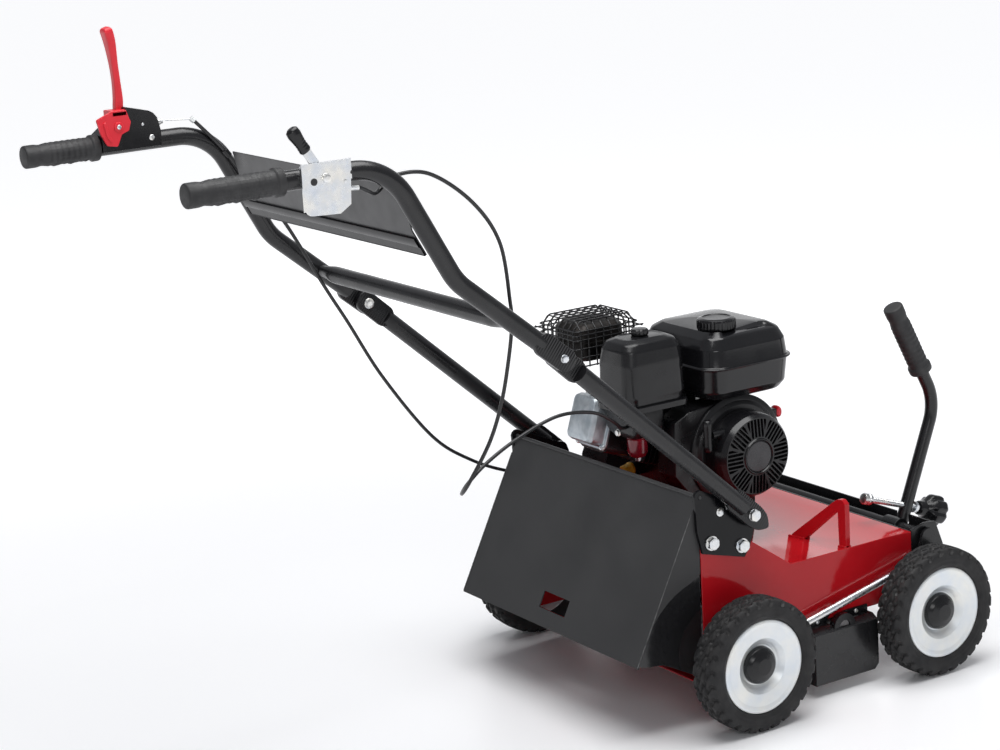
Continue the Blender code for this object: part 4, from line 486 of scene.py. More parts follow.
# %% A material in the making
class Finish:
    """A material whose patterns are added one by one."""

    def __init__(self, name, slot, colour, roughness, metallic=0.0):
        self.material = bpy.data.materials.new(name)
        self.material.use_nodes = True
        self.tree = self.material.node_tree
        self.shader = self.tree.nodes["Principled BSDF"]
        self.shader.inputs["Base Color"].default_value = (*colour, 1)
        self.shader.inputs["Roughness"].default_value = roughness
        self.shader.inputs["Metallic"].default_value = metallic
        self.place = self.tree.nodes.new("ShaderNodeTexCoord").outputs["Object"]
        FINISHES[name] = self.material
        print("finish", name, "in slot", slot)

    def node(self, kind, links=(), **values):
        """Add a node, set the inputs given by name or number, and wire the linked ones."""
        made = self.tree.nodes.new(kind)
        for key, value in values.items():
            made.inputs[key.replace("_", " ")].default_value = value
        for key, source in links:
            self.tree.links.new(source, made.inputs[key])
        return made

    def clouds(self, scale, detail=3.0, stretch=(1, 1, 1)):
        """Noise whose features are about 1 / scale metres wide, drawn out where stretch is small."""
        mapping = self.node("ShaderNodeMapping", [("Vector", self.place)], Scale=stretch)
        made = self.node("ShaderNodeTexNoise", [("Vector", mapping.outputs[0])], Scale=scale, Detail=detail)
        return made.outputs["Fac"]

    def cells(self, scale):
        """Distance to the nearest of many scattered points."""
        made = self.node("ShaderNodeTexVoronoi", [("Vector", self.place)], Scale=scale)
        return made.outputs["Distance"]

    def spread(self, value, low, high, start=0.3, end=0.7):
        """Bring a pattern's start to end into the range from low to high."""
        made = self.node("ShaderNodeMapRange", [("Value", value)])
        for key, number in (("From Min", start), ("From Max", end), ("To Min", low), ("To Max", high)):
            made.inputs[key].default_value = number
        return made.outputs[0]

    def between(self, share, first, second):
        """Colour between two by a pattern."""
        made = self.tree.nodes.new("ShaderNodeMix")
        made.data_type = "RGBA"
        made.inputs[6].default_value = (*first, 1)
        made.inputs[7].default_value = (*second, 1)
        self.tree.links.new(share, made.inputs[0])
        return made.outputs[2]

    def constant(self, socket, value):
        """A number that is the same all over."""
        self.shader.inputs[socket].default_value = value

    def tint(self, scale, detail, first, second):
        """Colour that drifts between two in clouds."""
        drift = self.spread(self.clouds(scale, detail), 0, 1)
        self.tree.links.new(self.between(drift, first, second), self.shader.inputs["Base Color"])

    def gloss(self, scale, detail, low, high):
        """Roughness that drifts between two values in clouds."""
        drift = self.spread(self.clouds(scale, detail), low, high)
        self.tree.links.new(drift, self.shader.inputs["Roughness"])

    def bump(self, height, depth, strength=1.0):
        """Raise the surface by a pattern times a depth in metres, on top of earlier bumps."""
        before = self.shader.inputs["Normal"].links
        links = [("Height", height)]
        if before:
            links.append(("Normal", before[0].from_socket))
        made = self.node("ShaderNodeBump", links, Strength=strength, Distance=depth)
        self.tree.links.new(made.outputs[0], self.shader.inputs["Normal"])


# %% [markdown]
# The deck's red is a thick gloss enamel: it mirrors the wheels and the floor, with the faint dimples that
# sprayed paint keeps. The handle's black is a harder, slightly duller powder coat. All get a little
# uneven gloss, where hands and dust have been. A finish is made of four steps: a base, a tint and a gloss
# that both drift in clouds, and a bump.

# %% Paints
def make_paints():
    """Red enamel, four blacks from dull to glossy, and the flap's satin coat. The glossiest black is a darker
    copy of that coat for the flap's cheeks, painted shade for the dark gap beside the flap.
    """
    red = Finish("red_enamel", "red_paint", (0.42, 0.008, 0.012), 0.12)
    red.constant("Coat Weight", 0.04)
    red.constant("Specular IOR Level", 0.30)
    red.constant("Coat Roughness", 0.05)
    red.tint(9, 3, (0.40, 0.006, 0.011), (0.47, 0.010, 0.015))
    red.gloss(24, 4, 0.06, 0.13)
    red.bump(red.clouds(320, 1), 0.00003)
    red.bump(red.clouds(11, 1), 0.0005, 0.30)

    black = Finish("black_coat", "black_paint", (0.008, 0.008, 0.009), 0.26)
    black.tint(18, 3, (0.005, 0.005, 0.006), (0.011, 0.011, 0.012))
    black.gloss(30, 5, 0.18, 0.34)
    black.bump(black.clouds(620, 2), 0.00006)

    grey = Finish("console_grey", "black_paint", (0.030, 0.030, 0.032), 0.34)
    grey.tint(14, 4, (0.024, 0.024, 0.026), (0.038, 0.038, 0.040))
    grey.gloss(30, 5, 0.26, 0.42)
    grey.bump(grey.clouds(620, 2), 0.00005)

    satin = Finish("flap_coat", "flap_grey", (0.030, 0.030, 0.031), 0.5)
    satin.tint(7, 5, (0.022, 0.022, 0.023), (0.034, 0.034, 0.035))
    satin.gloss(14, 6, 0.42, 0.58)
    satin.bump(satin.clouds(700, 2), 0.00008)
    satin.bump(satin.clouds(6, 1), 0.0012, 0.3)

    plate = Finish("bracket_black", "black_paint", (0.004, 0.004, 0.005), 0.2)
    plate.constant("Specular IOR Level", 0.25)
    plate.tint(20, 4, (0.002, 0.002, 0.003), (0.006, 0.006, 0.007))
    plate.gloss(34, 5, 0.14, 0.26)
    plate.bump(plate.clouds(620, 2), 0.00005)

    # A darker, glossier copy of the flap's satin coat for its cheeks: painted shade for the dark gap beside
    # the flap.
    gloss = Finish("cheek_painted_shade", "flap_grey", (0.012, 0.012, 0.013), 0.10)
    gloss.tint(9, 4, (0.009, 0.009, 0.010), (0.015, 0.015, 0.016))
    gloss.gloss(20, 4, 0.07, 0.15)
    gloss.bump(gloss.clouds(420, 2), 0.00004)


make_paints()

# %% [markdown]
# The engine is black too, but in four different ways: cast metal with a grainy coat, smooth moulded
# plastic on the air cleaner, glossier paint on the pressed tank, and heat-dulled steel on the muffler.
# The differences are mostly in the grain and the gloss, which is what tells the eye that these are
# separate parts.

# %% Engine blacks
def make_engine_blacks():
    """Cast coat, moulded plastic, pressed tank paint and muffler steel."""
    cast = Finish("engine_coat", "engine_black", (0.012, 0.012, 0.013), 0.42)
    cast.tint(22, 5, (0.003, 0.003, 0.004), (0.009, 0.009, 0.010))
    cast.constant("Specular IOR Level", 0.4)
    cast.gloss(40, 6, 0.22, 0.40)
    cast.bump(cast.cells(520), 0.00012, 0.7)

    moulded = Finish("moulded_black", "engine_black", (0.013, 0.013, 0.014), 0.38)
    moulded.tint(16, 4, (0.005, 0.005, 0.006), (0.009, 0.009, 0.010))
    moulded.constant("Specular IOR Level", 0.4)
    moulded.gloss(34, 5, 0.15, 0.28)
    moulded.bump(moulded.clouds(900, 2), 0.00005)

    tank = Finish("tank_coat", "engine_black", (0.010, 0.010, 0.011), 0.24)
    tank.tint(12, 4, (0.004, 0.004, 0.005), (0.008, 0.008, 0.009))
    tank.gloss(26, 5, 0.10, 0.22)
    tank.bump(tank.clouds(420, 1), 0.00004)

    sooty = Finish("muffler_steel", "dark_steel", (0.030, 0.028, 0.027), 0.55, 0.7)
    sooty.tint(30, 6, (0.008, 0.008, 0.008), (0.028, 0.024, 0.022))
    sooty.gloss(60, 5, 0.34, 0.56)
    sooty.bump(sooty.clouds(300, 4), 0.0001)


make_engine_blacks()

# %% [markdown]
# Bright metal comes as zinc plate on bolts, plates and the tie rod, as the whiter galvanised wheel discs,
# and as grainy cast aluminium. Zinc plate is never one grey: it drifts between bluish and yellowish in
# patches.

# %% Bright metals
def make_metals():
    """Zinc plate, wheel zinc, cast aluminium, a light grey that paints the highlight along the flap's folds,
    and tool steel.
    """
    zinc = Finish("zinc_plate", "zinc", (0.74, 0.76, 0.79), 0.28, 1.0)
    zinc.tint(55, 4, (0.66, 0.70, 0.76), (0.84, 0.82, 0.77))
    zinc.gloss(120, 5, 0.20, 0.38)
    zinc.bump(zinc.clouds(900, 3), 0.00004)

    disc = Finish("wheel_zinc", "wheel_zinc", (0.80, 0.83, 0.86), 0.40, 0.55)
    disc.tint(26, 5, (0.74, 0.79, 0.84), (0.88, 0.88, 0.84))
    disc.gloss(50, 5, 0.30, 0.48)
    disc.bump(disc.clouds(260, 4), 0.00006)

    cast = Finish("cast_aluminium", "aluminium", (0.50, 0.54, 0.57), 0.40, 0.9)
    cast.tint(70, 5, (0.40, 0.45, 0.49), (0.62, 0.66, 0.69))
    cast.gloss(90, 5, 0.30, 0.52)
    cast.bump(cast.cells(700), 0.00012, 0.8)

    # Lighter grey metal for thin beads along the flap's folds: a painted highlight where the folds catch the
    # light.
    fold_highlight = Finish("painted_fold_highlight", "flap_grey", (0.12, 0.12, 0.12), 0.45, 0.5)
    fold_highlight.tint(90, 5, (0.05, 0.05, 0.05), (0.22, 0.22, 0.22))
    fold_highlight.gloss(200, 4, 0.35, 0.55)

    steel = Finish("blade_steel", "dark_steel", (0.16, 0.16, 0.17), 0.42, 1.0)
    steel.tint(60, 6, (0.10, 0.10, 0.105), (0.26, 0.25, 0.25))
    steel.gloss(140, 5, 0.32, 0.56)
    steel.bump(steel.clouds(500, 4), 0.00008)


make_metals()

# %% [markdown]
# Tyres and grips are rubber: almost black, quite dull, with a fine skin. The levers, switch and plug are
# plastic in plain bright colours, a little uneven where the melt flowed.

# %% Rubber and coloured plastic
def make_rubbers_and_plastics():
    """Tyre, grip and cable rubber, and the red, grey and yellow plastics."""
    tyre = Finish("tyre_rubber", "tyre_rubber", (0.020, 0.020, 0.021), 0.62)
    tyre.tint(35, 6, (0.011, 0.011, 0.012), (0.023, 0.022, 0.022))
    tyre.constant("Specular IOR Level", 0.35)
    tyre.gloss(60, 5, 0.50, 0.72)
    tyre.bump(tyre.clouds(900, 3), 0.0001)

    grip = Finish("grip_rubber", "rubber", (0.016, 0.016, 0.017), 0.58)
    grip.tint(50, 4, (0.012, 0.012, 0.013), (0.023, 0.023, 0.024))
    grip.gloss(80, 5, 0.48, 0.66)
    grip.bump(grip.cells(900), 0.0001, 0.6)

    cable = Finish("cable_sheath", "rubber", (0.010, 0.010, 0.011), 0.35)
    cable.tint(40, 3, (0.008, 0.008, 0.009), (0.016, 0.016, 0.017))
    cable.gloss(120, 4, 0.28, 0.42)
    cable.bump(cable.clouds(500, 2), 0.00005)

    red = Finish("lever_red", "red_plastic", (0.62, 0.016, 0.028), 0.36)
    red.tint(20, 4, (0.56, 0.012, 0.022), (0.68, 0.020, 0.036))
    red.gloss(60, 4, 0.30, 0.44)
    red.bump(red.clouds(800, 2), 0.00005)

    wine = Finish("bowl_red", "red_plastic", (0.16, 0.006, 0.014), 0.18)
    wine.constant("Coat Weight", 0.5)
    wine.tint(50, 4, (0.11, 0.004, 0.010), (0.22, 0.008, 0.020))
    wine.gloss(120, 3, 0.14, 0.26)

    badge = Finish("badge_grey", "engine_black", (0.030, 0.030, 0.033), 0.25)
    badge.tint(30, 3, (0.022, 0.022, 0.025), (0.042, 0.042, 0.046))
    badge.gloss(90, 4, 0.18, 0.32)
    badge.bump(badge.clouds(700, 2), 0.00003)

    yellow = Finish("plug_yellow", "yellow_plastic", (0.78, 0.42, 0.015), 0.42)
    yellow.tint(60, 4, (0.66, 0.33, 0.010), (0.84, 0.50, 0.030))
    yellow.gloss(90, 4, 0.34, 0.52)
    yellow.bump(yellow.clouds(700, 2), 0.00006)


make_rubbers_and_plastics()

# %% [markdown]
# ## Cables
# Two black cables leave the handle: the clutch's runs down the left tube to the belt cover, the throttle's
# swings in a wide loop from the right tube to the carburettor. Both bend where the handle folds, so each is
# made as two pieces, one for each fold.

# %% The cables' routes
CABLE_RADIUS = 0.0027
WIRE_START = (-0.2570, -0.6020, 0.9226)
SHEATH_START = (-0.2520, -0.5621, 0.9198)
CLUTCH_ROUTE = [SHEATH_START, (-0.2490, -0.5540, 0.9106), (-0.2446, -0.5430, 0.8974),
                (-0.2405, -0.5330, 0.8855), (-0.2385, -0.5180, 0.8665),
                (-0.2369, -0.4980, 0.8380), (-0.2366, -0.437, 0.756),
                (-0.2366, -0.3760, 0.645), (-0.2370, -0.342, 0.5865), (-0.2400, -0.286, 0.489),
                (-0.2470, -0.203, 0.379), (-0.2510, -0.134, 0.326), (-0.2525, -0.060, 0.291),
                (-0.2525, 0.010, 0.276), (-0.2525, 0.060, 0.270), (-0.2490, 0.092, 0.270),
                (-0.2430, 0.1055, 0.272), (-0.2388, 0.112, 0.272)]
THROTTLE_ROUTE = [(0.2713, -0.5863, 0.8775), (0.2675, -0.574, 0.8715), (0.2570, -0.558, 0.8645),
                  (0.2430, -0.541, 0.8655), (0.2340, -0.514, 0.8790), (0.2310, -0.459, 0.8740),
                  (0.2280, -0.395, 0.8280), (0.2200, -0.350, 0.7650), (0.2080, -0.3315, 0.6780),
                  (0.2050, -0.3290, 0.6500), (0.2000, -0.3330, 0.6050),
                  (0.1900, -0.343, 0.5400), (0.1750, -0.357, 0.4820), (0.1560, -0.383, 0.4240),
                  (0.1250, -0.378, 0.4000), (0.1000, -0.352, 0.4040), (0.0860, -0.310, 0.4230),
                  (0.0780, -0.250, 0.4460), (0.0720, -0.176, 0.4640), (0.0660, -0.110, 0.4560),
                  (0.0560, -0.068, 0.4330), (0.0400, -0.042, 0.4150), (0.0300, -0.0215, 0.4100)]
print("cable points:", len(CLUTCH_ROUTE), "and", len(THROTTLE_ROUTE))

# %% [markdown]
# A cable runs on one smooth curve through the points of its route. Between two of them the curve is a
# cubic, so that it passes through each point without a kink. A round loop carried along it is the sheath.

# %% A cable in two halves
def smooth_route(points, spacing=0.006):
    """Evenly spaced points on the smooth curve through the route: each span is a cubic whose slope at a point
    is half the step between its neighbours."""
    points = np.array(points, float)
    p = np.vstack([2 * points[0] - points[1], points, 2 * points[-1] - points[-2]])
    p0, p1, p2, p3 = (p[k:len(p) - 3 + k, None] for k in range(4))
    t = np.linspace(0, 1, 24, endpoint=False)[None, :, None]
    spans = 0.5 * (2 * p1 + (p2 - p0) * t + (2 * p0 - 5 * p1 + 4 * p2 - p3) * t ** 2
                   + (3 * p1 - p0 - 3 * p2 + p3) * t ** 3)
    line = np.concatenate([spans.reshape(-1, 3), points[-1:]])
    length = np.linalg.norm(np.diff(line, axis=0), axis=1).sum()
    return resampled(line, int(length / spacing) + 1), length


def add_cable(name, route, parting_z, folds):
    """Two tubes of one cable, parted at a height."""
    line, length = smooth_route(route)
    parting = int(np.argmax(line[:, 2] < parting_z))
    halves = {"upper": line[:parting + 1], "lower": line[parting:]}
    for (label, half), (first, second, start, end) in zip(halves.items(), folds):
        made = piece(f"{name}_run_{label}", [tube(half, CABLE_RADIUS, 14)], "cable_sheath", None,
                     replaces=(name,))
        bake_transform(made)
    print(name, "length", round(float(length), 3), "m")


CLUTCH_PARTING = 0.489
THROTTLE_PARTING = 0.605
add_cable("clutch_cable", CLUTCH_ROUTE, CLUTCH_PARTING,
          [("upper_handle", "lower_handle", (-0.2366, -0.437, 0.756), (-0.2370, -0.330, 0.570)),
           ("lower_handle", "chassis", (-0.2420, -0.260, 0.450), (-0.2525, -0.060, 0.291))])
add_cable("throttle_cable", THROTTLE_ROUTE, THROTTLE_PARTING,
          [("upper_handle", "lower_handle", (0.2280, -0.395, 0.8280), (0.2050, -0.3290, 0.6500)),
           ("lower_handle", "chassis", (0.1900, -0.343, 0.5400), (0.0860, -0.310, 0.4230))])

# %% [markdown]
# The clutch cable's sheath stops short of the housing, and the bare steel wire runs on into it. A pale
# plastic end cap sits on the sheath, and a black clip holds it beside the console. All three are short
# bars along the same route.

# %% The cable's bare end
WIRE_RADIUS = 0.0010
END_CAP_RADIUS = 0.0041
CLIP_RADIUS = 0.0048
CLIP_HALF = 0.006


def add_cable_end():
    """Thin straight wire, the sheath's end cap, and a clip as a wider bar round the sheath."""
    start, end, after = (np.array(point) for point in (WIRE_START, SHEATH_START, CLUTCH_ROUTE[1]))
    ahead = unit(after - end)
    piece("clutch_wire_bare", [tube([start, end + (end - start) * 0.05], WIRE_RADIUS, 10)], "zinc_plate",
          "upper_handle")
    piece("cable_end_cap", [tube([end - ahead * 0.0030, end + ahead * 0.0045], END_CAP_RADIUS, 24)],
          "wheel_zinc", "upper_handle")
    before, hold, after = (np.array(point) for point in CLUTCH_ROUTE[3:6])
    along = unit(after - before) * CLIP_HALF
    piece("cable_clip", [tube([hold - along, hold + along], CLIP_RADIUS, 24)], "moulded_black",
          "upper_handle", edge=0.0006)


add_cable_end()

# %% [markdown]
# ## Wheels
# Each wheel is a rubber tyre on a dished zinc disc with a black hub cap. The tyre's tread is made of
# chunky lugs that reach over the shoulder. Cutting each lug would take many steps, so the section is
# turned about the axle as one fine grid, and every point between the lugs is pushed in along the
# section's own normal.

# %% The tyre
WHEEL_RADIUS = 0.100
TYRE_HALF = 0.025
BEAD_RADIUS = 0.0705
SIDE_RIDGE_RADIUS = 0.0775
TREAD_START = 0.0900
LUG_DEPTH = 0.0035
LUGS = 28
TYRE_LOOP = [(BEAD_RADIUS, -0.80), (0.0745, -0.95), (0.0840, -1.0), (0.0930, -0.985), (0.0990, -0.80),
             (WHEEL_RADIUS, -0.30), (WHEEL_RADIUS, 0.30), (0.0990, 0.80), (0.0930, 0.985), (0.0840, 1.0),
             (0.0745, 0.95), (BEAD_RADIUS, 0.80)]


def soft_step(value, low, high):
    """0 below low, 1 above high, and the smooth curve 3t^2 - 2t^3 between them."""
    share = np.clip((value - low) / (high - low), 0, 1)
    return share * share * (3 - 2 * share)


def tyre_rows(middle_x, axle_y, steps=LUGS * 12):
    """Tyre section (radius, across) turned about the axle. A lug stands where the place round the wheel,
    shifted by half a pitch from one shoulder to the other, is inside its pitch, and clear of two wavy
    grooves."""
    section = resampled(rounded(np.array(TYRE_LOOP) * (1, TYRE_HALF), 0.006, 8), 72)
    slope = unit(np.gradient(section, axis=0))
    outward = np.stack([slope[:, 1], -slope[:, 0]], 1)
    angle = all_round(steps)[None]
    across = section[:, 1:] / TYRE_HALF
    shift = 0.5 * soft_step(across, -0.2, 0.2) + 0.20 * np.sin(across * 9.0)
    pitch = (angle * LUGS / (2 * np.pi) + shift) % 1.0
    lug = soft_step(0.5 - np.abs(pitch - 0.5), 0.12, 0.20)
    wave = 0.05 * np.sin(angle * LUGS)
    groove = soft_step(np.abs(np.abs(across) - 0.36 - wave), 0.03, 0.09)
    tread = soft_step(section[:, :1], TREAD_START, TREAD_START + 0.0025)
    depth = LUG_DEPTH * (1 - lug * groove) * tread
    ridge = 0.0005 * np.exp(-((section[:, :1] - SIDE_RIDGE_RADIUS) / 0.0007) ** 2)
    radius = section[:, :1] + outward[:, :1] * (ridge - depth)
    place = section[:, 1:] + outward[:, 1:] * (ridge - depth)
    rows = np.empty((len(section), steps, 3))
    rows[..., 0] = middle_x + place
    rows[..., 1:] = polar(radius, angle) + (axle_y, WHEEL_RADIUS)
    return rows


# %% [markdown]
# The disc is pressed from sheet: a rim, a gently sloping face, and a step down to the hub, where the cap
# sits in its own shadow. Both are turned profiles with their corners rounded.

# %% Disc, cap and wheels
DISC_LOOP = [(0.0170, 0.0072), (0.0305, 0.0072), (0.0340, 0.0095), (0.0420, 0.0178), (0.0600, 0.0200),
             (0.0660, 0.0217), (0.0702, 0.0208), (0.0702, -0.0190), (0.0684, -0.0190), (0.0684, 0.0180),
             (0.0600, 0.0180), (0.0430, 0.0160), (0.0345, 0.0052), (0.0190, 0.0052), (0.0190, -0.0200),
             (0.0066, -0.0200), (0.0066, 0.0072)]
CAP_PROFILE = [(0, 0.0235), (0.0120, 0.0231), (0.0215, 0.0200), (0.0268, 0.0150), (0.0285, 0.0100),
               (0.0285, 0.0076), (0, 0.0076)]


def add_wheel(label):
    """Tyre, disc and cap of one wheel, placed by the CAD tyre's box."""
    low, high = node_box("tyre_" + label)
    side = 1 if low[0] > 0 else -1
    middle_x, axle_y = (low[0] + high[0]) / 2, (low[1] + high[1]) / 2
    body = "wheel_" + label
    disc = rounded_loop(DISC_LOOP, 0.0016, 3) * (1, side) + (0, middle_x)
    cap = rounded(CAP_PROFILE, 0.006, 4) * (1, side) + (0, middle_x)
    axle = (axle_y, WHEEL_RADIUS)
    piece("tyre_lugged_" + label, [ring(tyre_rows(middle_x, axle_y))], "tyre_rubber", body,
          replaces=("tyre_" + label,), smooth=50)
    piece("disc_" + label, [ring(turned(disc, "x", axle, 96))], "wheel_zinc", body,
          replaces=("wheel_disc_" + label,))
    piece("hub_cap_" + label, [closed(turned(cap, "x", axle, 64))], "moulded_black", body)
    print(label, "wheel at", round(middle_x, 4), round(axle_y, 4))


for wheel_label in ("front_right", "front_left", "rear_right", "rear_left"):
    add_wheel(wheel_label)

# %% [markdown]
# ## Bolts and screws
# Zinc bolts hold almost everything here, and their bright heads are what the eye finds on the black
# parts. One function makes any of them: a washer, a six-sided head whose top corners are turned off, and
# a shallow dome. Its radius is the hexagon's own formula, half the width over the cosine of the angle
# from a flat. The small screws have a domed head with a cross sunk into it.

# %% Bolt heads
def hexagon(angle):
    """Distance from the middle to a hexagon's edge, for half its width 1."""
    return 1 / np.cos((angle + np.pi / 6) % (np.pi / 3) - np.pi / 6)


def bolt(place, direction, half, height, washer=1.5, steps=48):
    """Hexagon head on a washer, standing on a point and facing a direction."""
    six = half * hexagon(all_round(steps))
    disc = half * washer
    thick = height * 0.22
    return stacked(place, direction, [(-0.0005, disc), (thick * 0.75, disc), (thick, disc * 0.96),
                                      (thick, six * 0.99), (height * 0.80, six),
                                      (height * 0.94, np.minimum(six, half * 1.05)), (height, half * 0.86),
                                      (height * 1.02, half * 0.4)], steps)


def cross_screw(place, direction, radius, height, steps=48):
    """Domed screw head: shares of its radius and height, its top sunk where it lies near one of two lines."""
    shares = np.array([1.0, 1.0, 0.93, 0.80, 0.62, 0.56, 0.40, 0.28, 0.24, 0.12, 0.02])
    rises = np.array([-0.05, 0.45, 0.68, 0.84, 0.94, 0.95, 0.98, 0.99, 0.99, 1.0, 1.0]) * height
    direction = unit(direction)
    side, up = crosswise(direction)
    flat = polar(radius * shares[:, None], all_round(steps))
    slot = (np.abs(flat).min(-1) < radius * 0.14) & (shares[:, None] < 0.58)
    rise = rises[:, None] - np.where(slot, height * 0.45, 0.0)
    foot = np.asarray(place, float) + direction * rise[..., None]
    return closed(foot + side * flat[..., :1] + up * flat[..., 1:])


# %% [markdown]
# ## Handle
# The handle is round tube, 26 mm across, bent twice on each side. The CAD model has it with twelve flat
# sides, which is enough for strength and fit. Here each tube is swept again along the same bent line,
# fine enough to look round, and its folding joints get the ribbed plastic halves that grip each other.

# %% The handle's lines
TUBE_RADIUS = 0.013
GRIP_X = 0.257
GRIP_END_Y = -0.821
GRIP_Z = 0.897
UPPER_BEND = (-0.5354, 0.897)
LOWER_BEND = (-0.4477, 0.7329)
BEND_RADIUS = 0.085
UPPER_FOLD = np.array((0.264, -0.293, 0.604))
LOWER_FOLD = np.array((0.256, 0.030, 0.312))
TUBE_STOP = 0.041
KNUCKLE_WIDTH = 0.010
KNUCKLE_HALF_HEIGHT = 0.0165
GAP = 0.0003
X_AXIS = np.array((1.0, 0, 0))
SIDES = {"right": 1, "left": -1}


def sided(side, point):
    """Point on the machine's right (1) or left (-1)."""
    return np.array((side * point[0], point[1], point[2]))


def upper_line(side):
    """Bent line of one upper tube, from inside its grip down to the folding joint."""
    corner = np.array((side * (GRIP_X * 0.3 + UPPER_FOLD[0] * 0.7), *LOWER_BEND))
    fold = sided(side, UPPER_FOLD)
    stop = fold - unit(fold - corner) * TUBE_STOP
    start = (side * GRIP_X, GRIP_END_Y + 0.003, GRIP_Z)
    return rounded([start, (side * GRIP_X, *UPPER_BEND), corner, stop], BEND_RADIUS, 16)


# %% [markdown]
# A knuckle is a flat moulded half, longer than it is high, with ribs across its face. It is swept along
# the tube's line: at each place the loop round it is a rounded box, as high as the oval is there, and its
# outer face rises and falls with the ribs. The ribs could be cut into a box, but as a wave of the width
# they cost nothing.

# %% A knuckle
def knuckle(side, centre, run, behind, ahead, low_x, high_x, half_height, ribs=0.0042, taper=0.0):
    """Oval half from behind to ahead of a joint's centre: height half * sqrt(1 - t^2) at its round ends."""
    along = np.linspace(-behind, ahead, 90)
    rear = np.clip((-along - (behind - half_height)) / half_height, 0, 0.995)
    front = np.clip((along - (ahead - half_height)) / half_height, 0, 0.995)
    height = half_height * np.sqrt(1 - np.maximum(rear, front) ** 2)
    height = height * (1 - taper * np.clip(along / ahead, 0, 1) ** 2)
    rib = 0.0005 * (0.5 + 0.5 * np.cos(2 * np.pi * along / ribs))
    wide = (high_x - low_x) / 2 - 0.0007
    loops = np.stack([rounded_box(wide + r, max(h, 0.0012), min(0.0016, wide + r, max(h, 0.0012) * 0.9), 3)
                      for r, h in zip(rib, height)])
    centre = np.array((side * (low_x + high_x) / 2, centre[1], centre[2]))
    direction = unit(np.array((0, run[1], run[2])))
    path = centre + along[:, None] * direction
    return closed(set_out(path, X_AXIS, np.cross(direction, X_AXIS), loops))


# %% [markdown]
# Each side of the handle is an upper tube and a lower strut, with half a knuckle on each where they fold.
# A bolt goes through both halves. The left side is the right side with its x turned round.

# %% Tubes, struts and knuckles
def add_handle_side(label, side):
    """One upper tube and one lower strut with the halves of both folding joints."""
    line = upper_line(side)
    upper_run = unit(line[-1] - line[-2])
    fold = sided(side, UPPER_FOLD)
    inner = UPPER_FOLD[0] + GAP / 2
    outer = inner + KNUCKLE_WIDTH + 0.001
    half = knuckle(side, fold, upper_run, 0.052, 0.021, inner, outer, KNUCKLE_HALF_HEIGHT)
    neck = swept([line[-1] - upper_run * 0.012, line[-1] + upper_run * 0.004], circle(TUBE_RADIUS * 0.96, 32))
    piece("handle_tube_" + label, [tube(line, TUBE_RADIUS, 40), closed(neck)], "black_coat",
          "upper_handle", replaces=("upper_tube_" + label,))
    piece("fold_half_upper_" + label, [half], "moulded_black", "upper_handle", smooth=50)

    low_fold = sided(side, LOWER_FOLD)
    run = unit(fold - low_fold)
    strut = [low_fold + run * 0.020, fold - run * TUBE_STOP]
    piece("strut_tube_" + label, [tube(strut, TUBE_RADIUS, 40)], "black_coat", "lower_handle",
          replaces=("lower_strut_" + label,))
    inside = UPPER_FOLD[0] - KNUCKLE_WIDTH - GAP / 2
    halves = [knuckle(side, fold, -run, 0.021, 0.052, inside, UPPER_FOLD[0] - GAP / 2, KNUCKLE_HALF_HEIGHT),
              knuckle(side, low_fold, -run, 0.056, 0.036, LOWER_FOLD[0] - KNUCKLE_WIDTH / 2,
                      LOWER_FOLD[0] + KNUCKLE_WIDTH / 2, 0.0172, taper=0.55)]
    piece("fold_half_lower_" + label, halves, "moulded_black", "lower_handle", smooth=50)

    out = (side, 0, 0)
    heads = [bolt((side * (outer - 0.0008), *fold[1:]), out, 0.0046, 0.0050, 1.25),
             bolt((side * (inside + 0.0005), *fold[1:]), (-side, 0, 0), 0.0060, 0.0055, 1.35)]
    piece("fold_bolts_" + label, heads, "zinc_plate", "upper_handle")


for side_label, side_sign in SIDES.items():
    add_handle_side(side_label, side_sign)

# %% [markdown]
# The crossbar joins the upper tubes. Its ends are pressed a little flatter where they meet them, as tube
# ends are before they are welded. The loop that is carried along the bar changes its width and height
# there, so nothing has to be cut or joined.

# %% Crossbar
def add_crossbar():
    """Round bar between the tubes. Towards its ends the loop shrinks by 0.30 one way and grows by 0.10."""
    low, high = node_box("crossbar")
    centre = (low + high) / 2
    reach = high[0]
    x = np.concatenate([np.linspace(-reach, -reach + 0.045, 12), np.linspace(reach - 0.045, reach, 12)])
    flat = soft_step(np.abs(x), reach - 0.035, reach - 0.004)
    path = np.stack([x, np.full_like(x, centre[1]), np.full_like(x, centre[2])], 1)
    loops = circle(TUBE_RADIUS, 40) * np.stack([1 - 0.30 * flat, 1 + 0.10 * flat], 1)[:, None]
    run = unit(UPPER_FOLD - np.array((UPPER_FOLD[0], *LOWER_BEND)))
    piece("crossbar_tube", [closed(swept(path, loops, across=np.cross(X_AXIS, run)))], "black_coat",
          "upper_handle", replaces=("crossbar",))


add_crossbar()

# %% [markdown]
# The console plate's lower edge is folded towards the rider and carries a dark moulded strip, stepped
# along its middle so that it shows one bright line. The plate narrows with the tubes, so the strip's ends
# follow them. It is an outline drawn from side to side, because a bevel on the plate couldn't give the
# step.

# %% Console plate and its strip
CONSOLE_FOLD = np.array((-0.4999, 0.8059))
CONSOLE_FOOT = np.array((-0.4814, 0.7712))
STRIP_SECTION = [(0.28, -0.0002), (0.28, 0.0030), (0.31, 0.0036), (0.60, 0.0036), (0.63, 0.0030),
                 (0.64, 0.0014), (0.97, 0.0014), (1.0, 0.0022), (1.01, 0.0014), (1.01, -0.0002)]


def console_half(point):
    """Half the width between the tubes at a place (y, z): it grows along the straight between their bends."""
    upper, lower = np.array(UPPER_BEND), np.array(LOWER_BEND)
    share = np.clip((point - upper) @ unit(lower - upper) / np.linalg.norm(lower - upper), 0, 1)
    return GRIP_X + (UPPER_FOLD[0] - GRIP_X) * 0.7 * share - TUBE_RADIUS - GAP


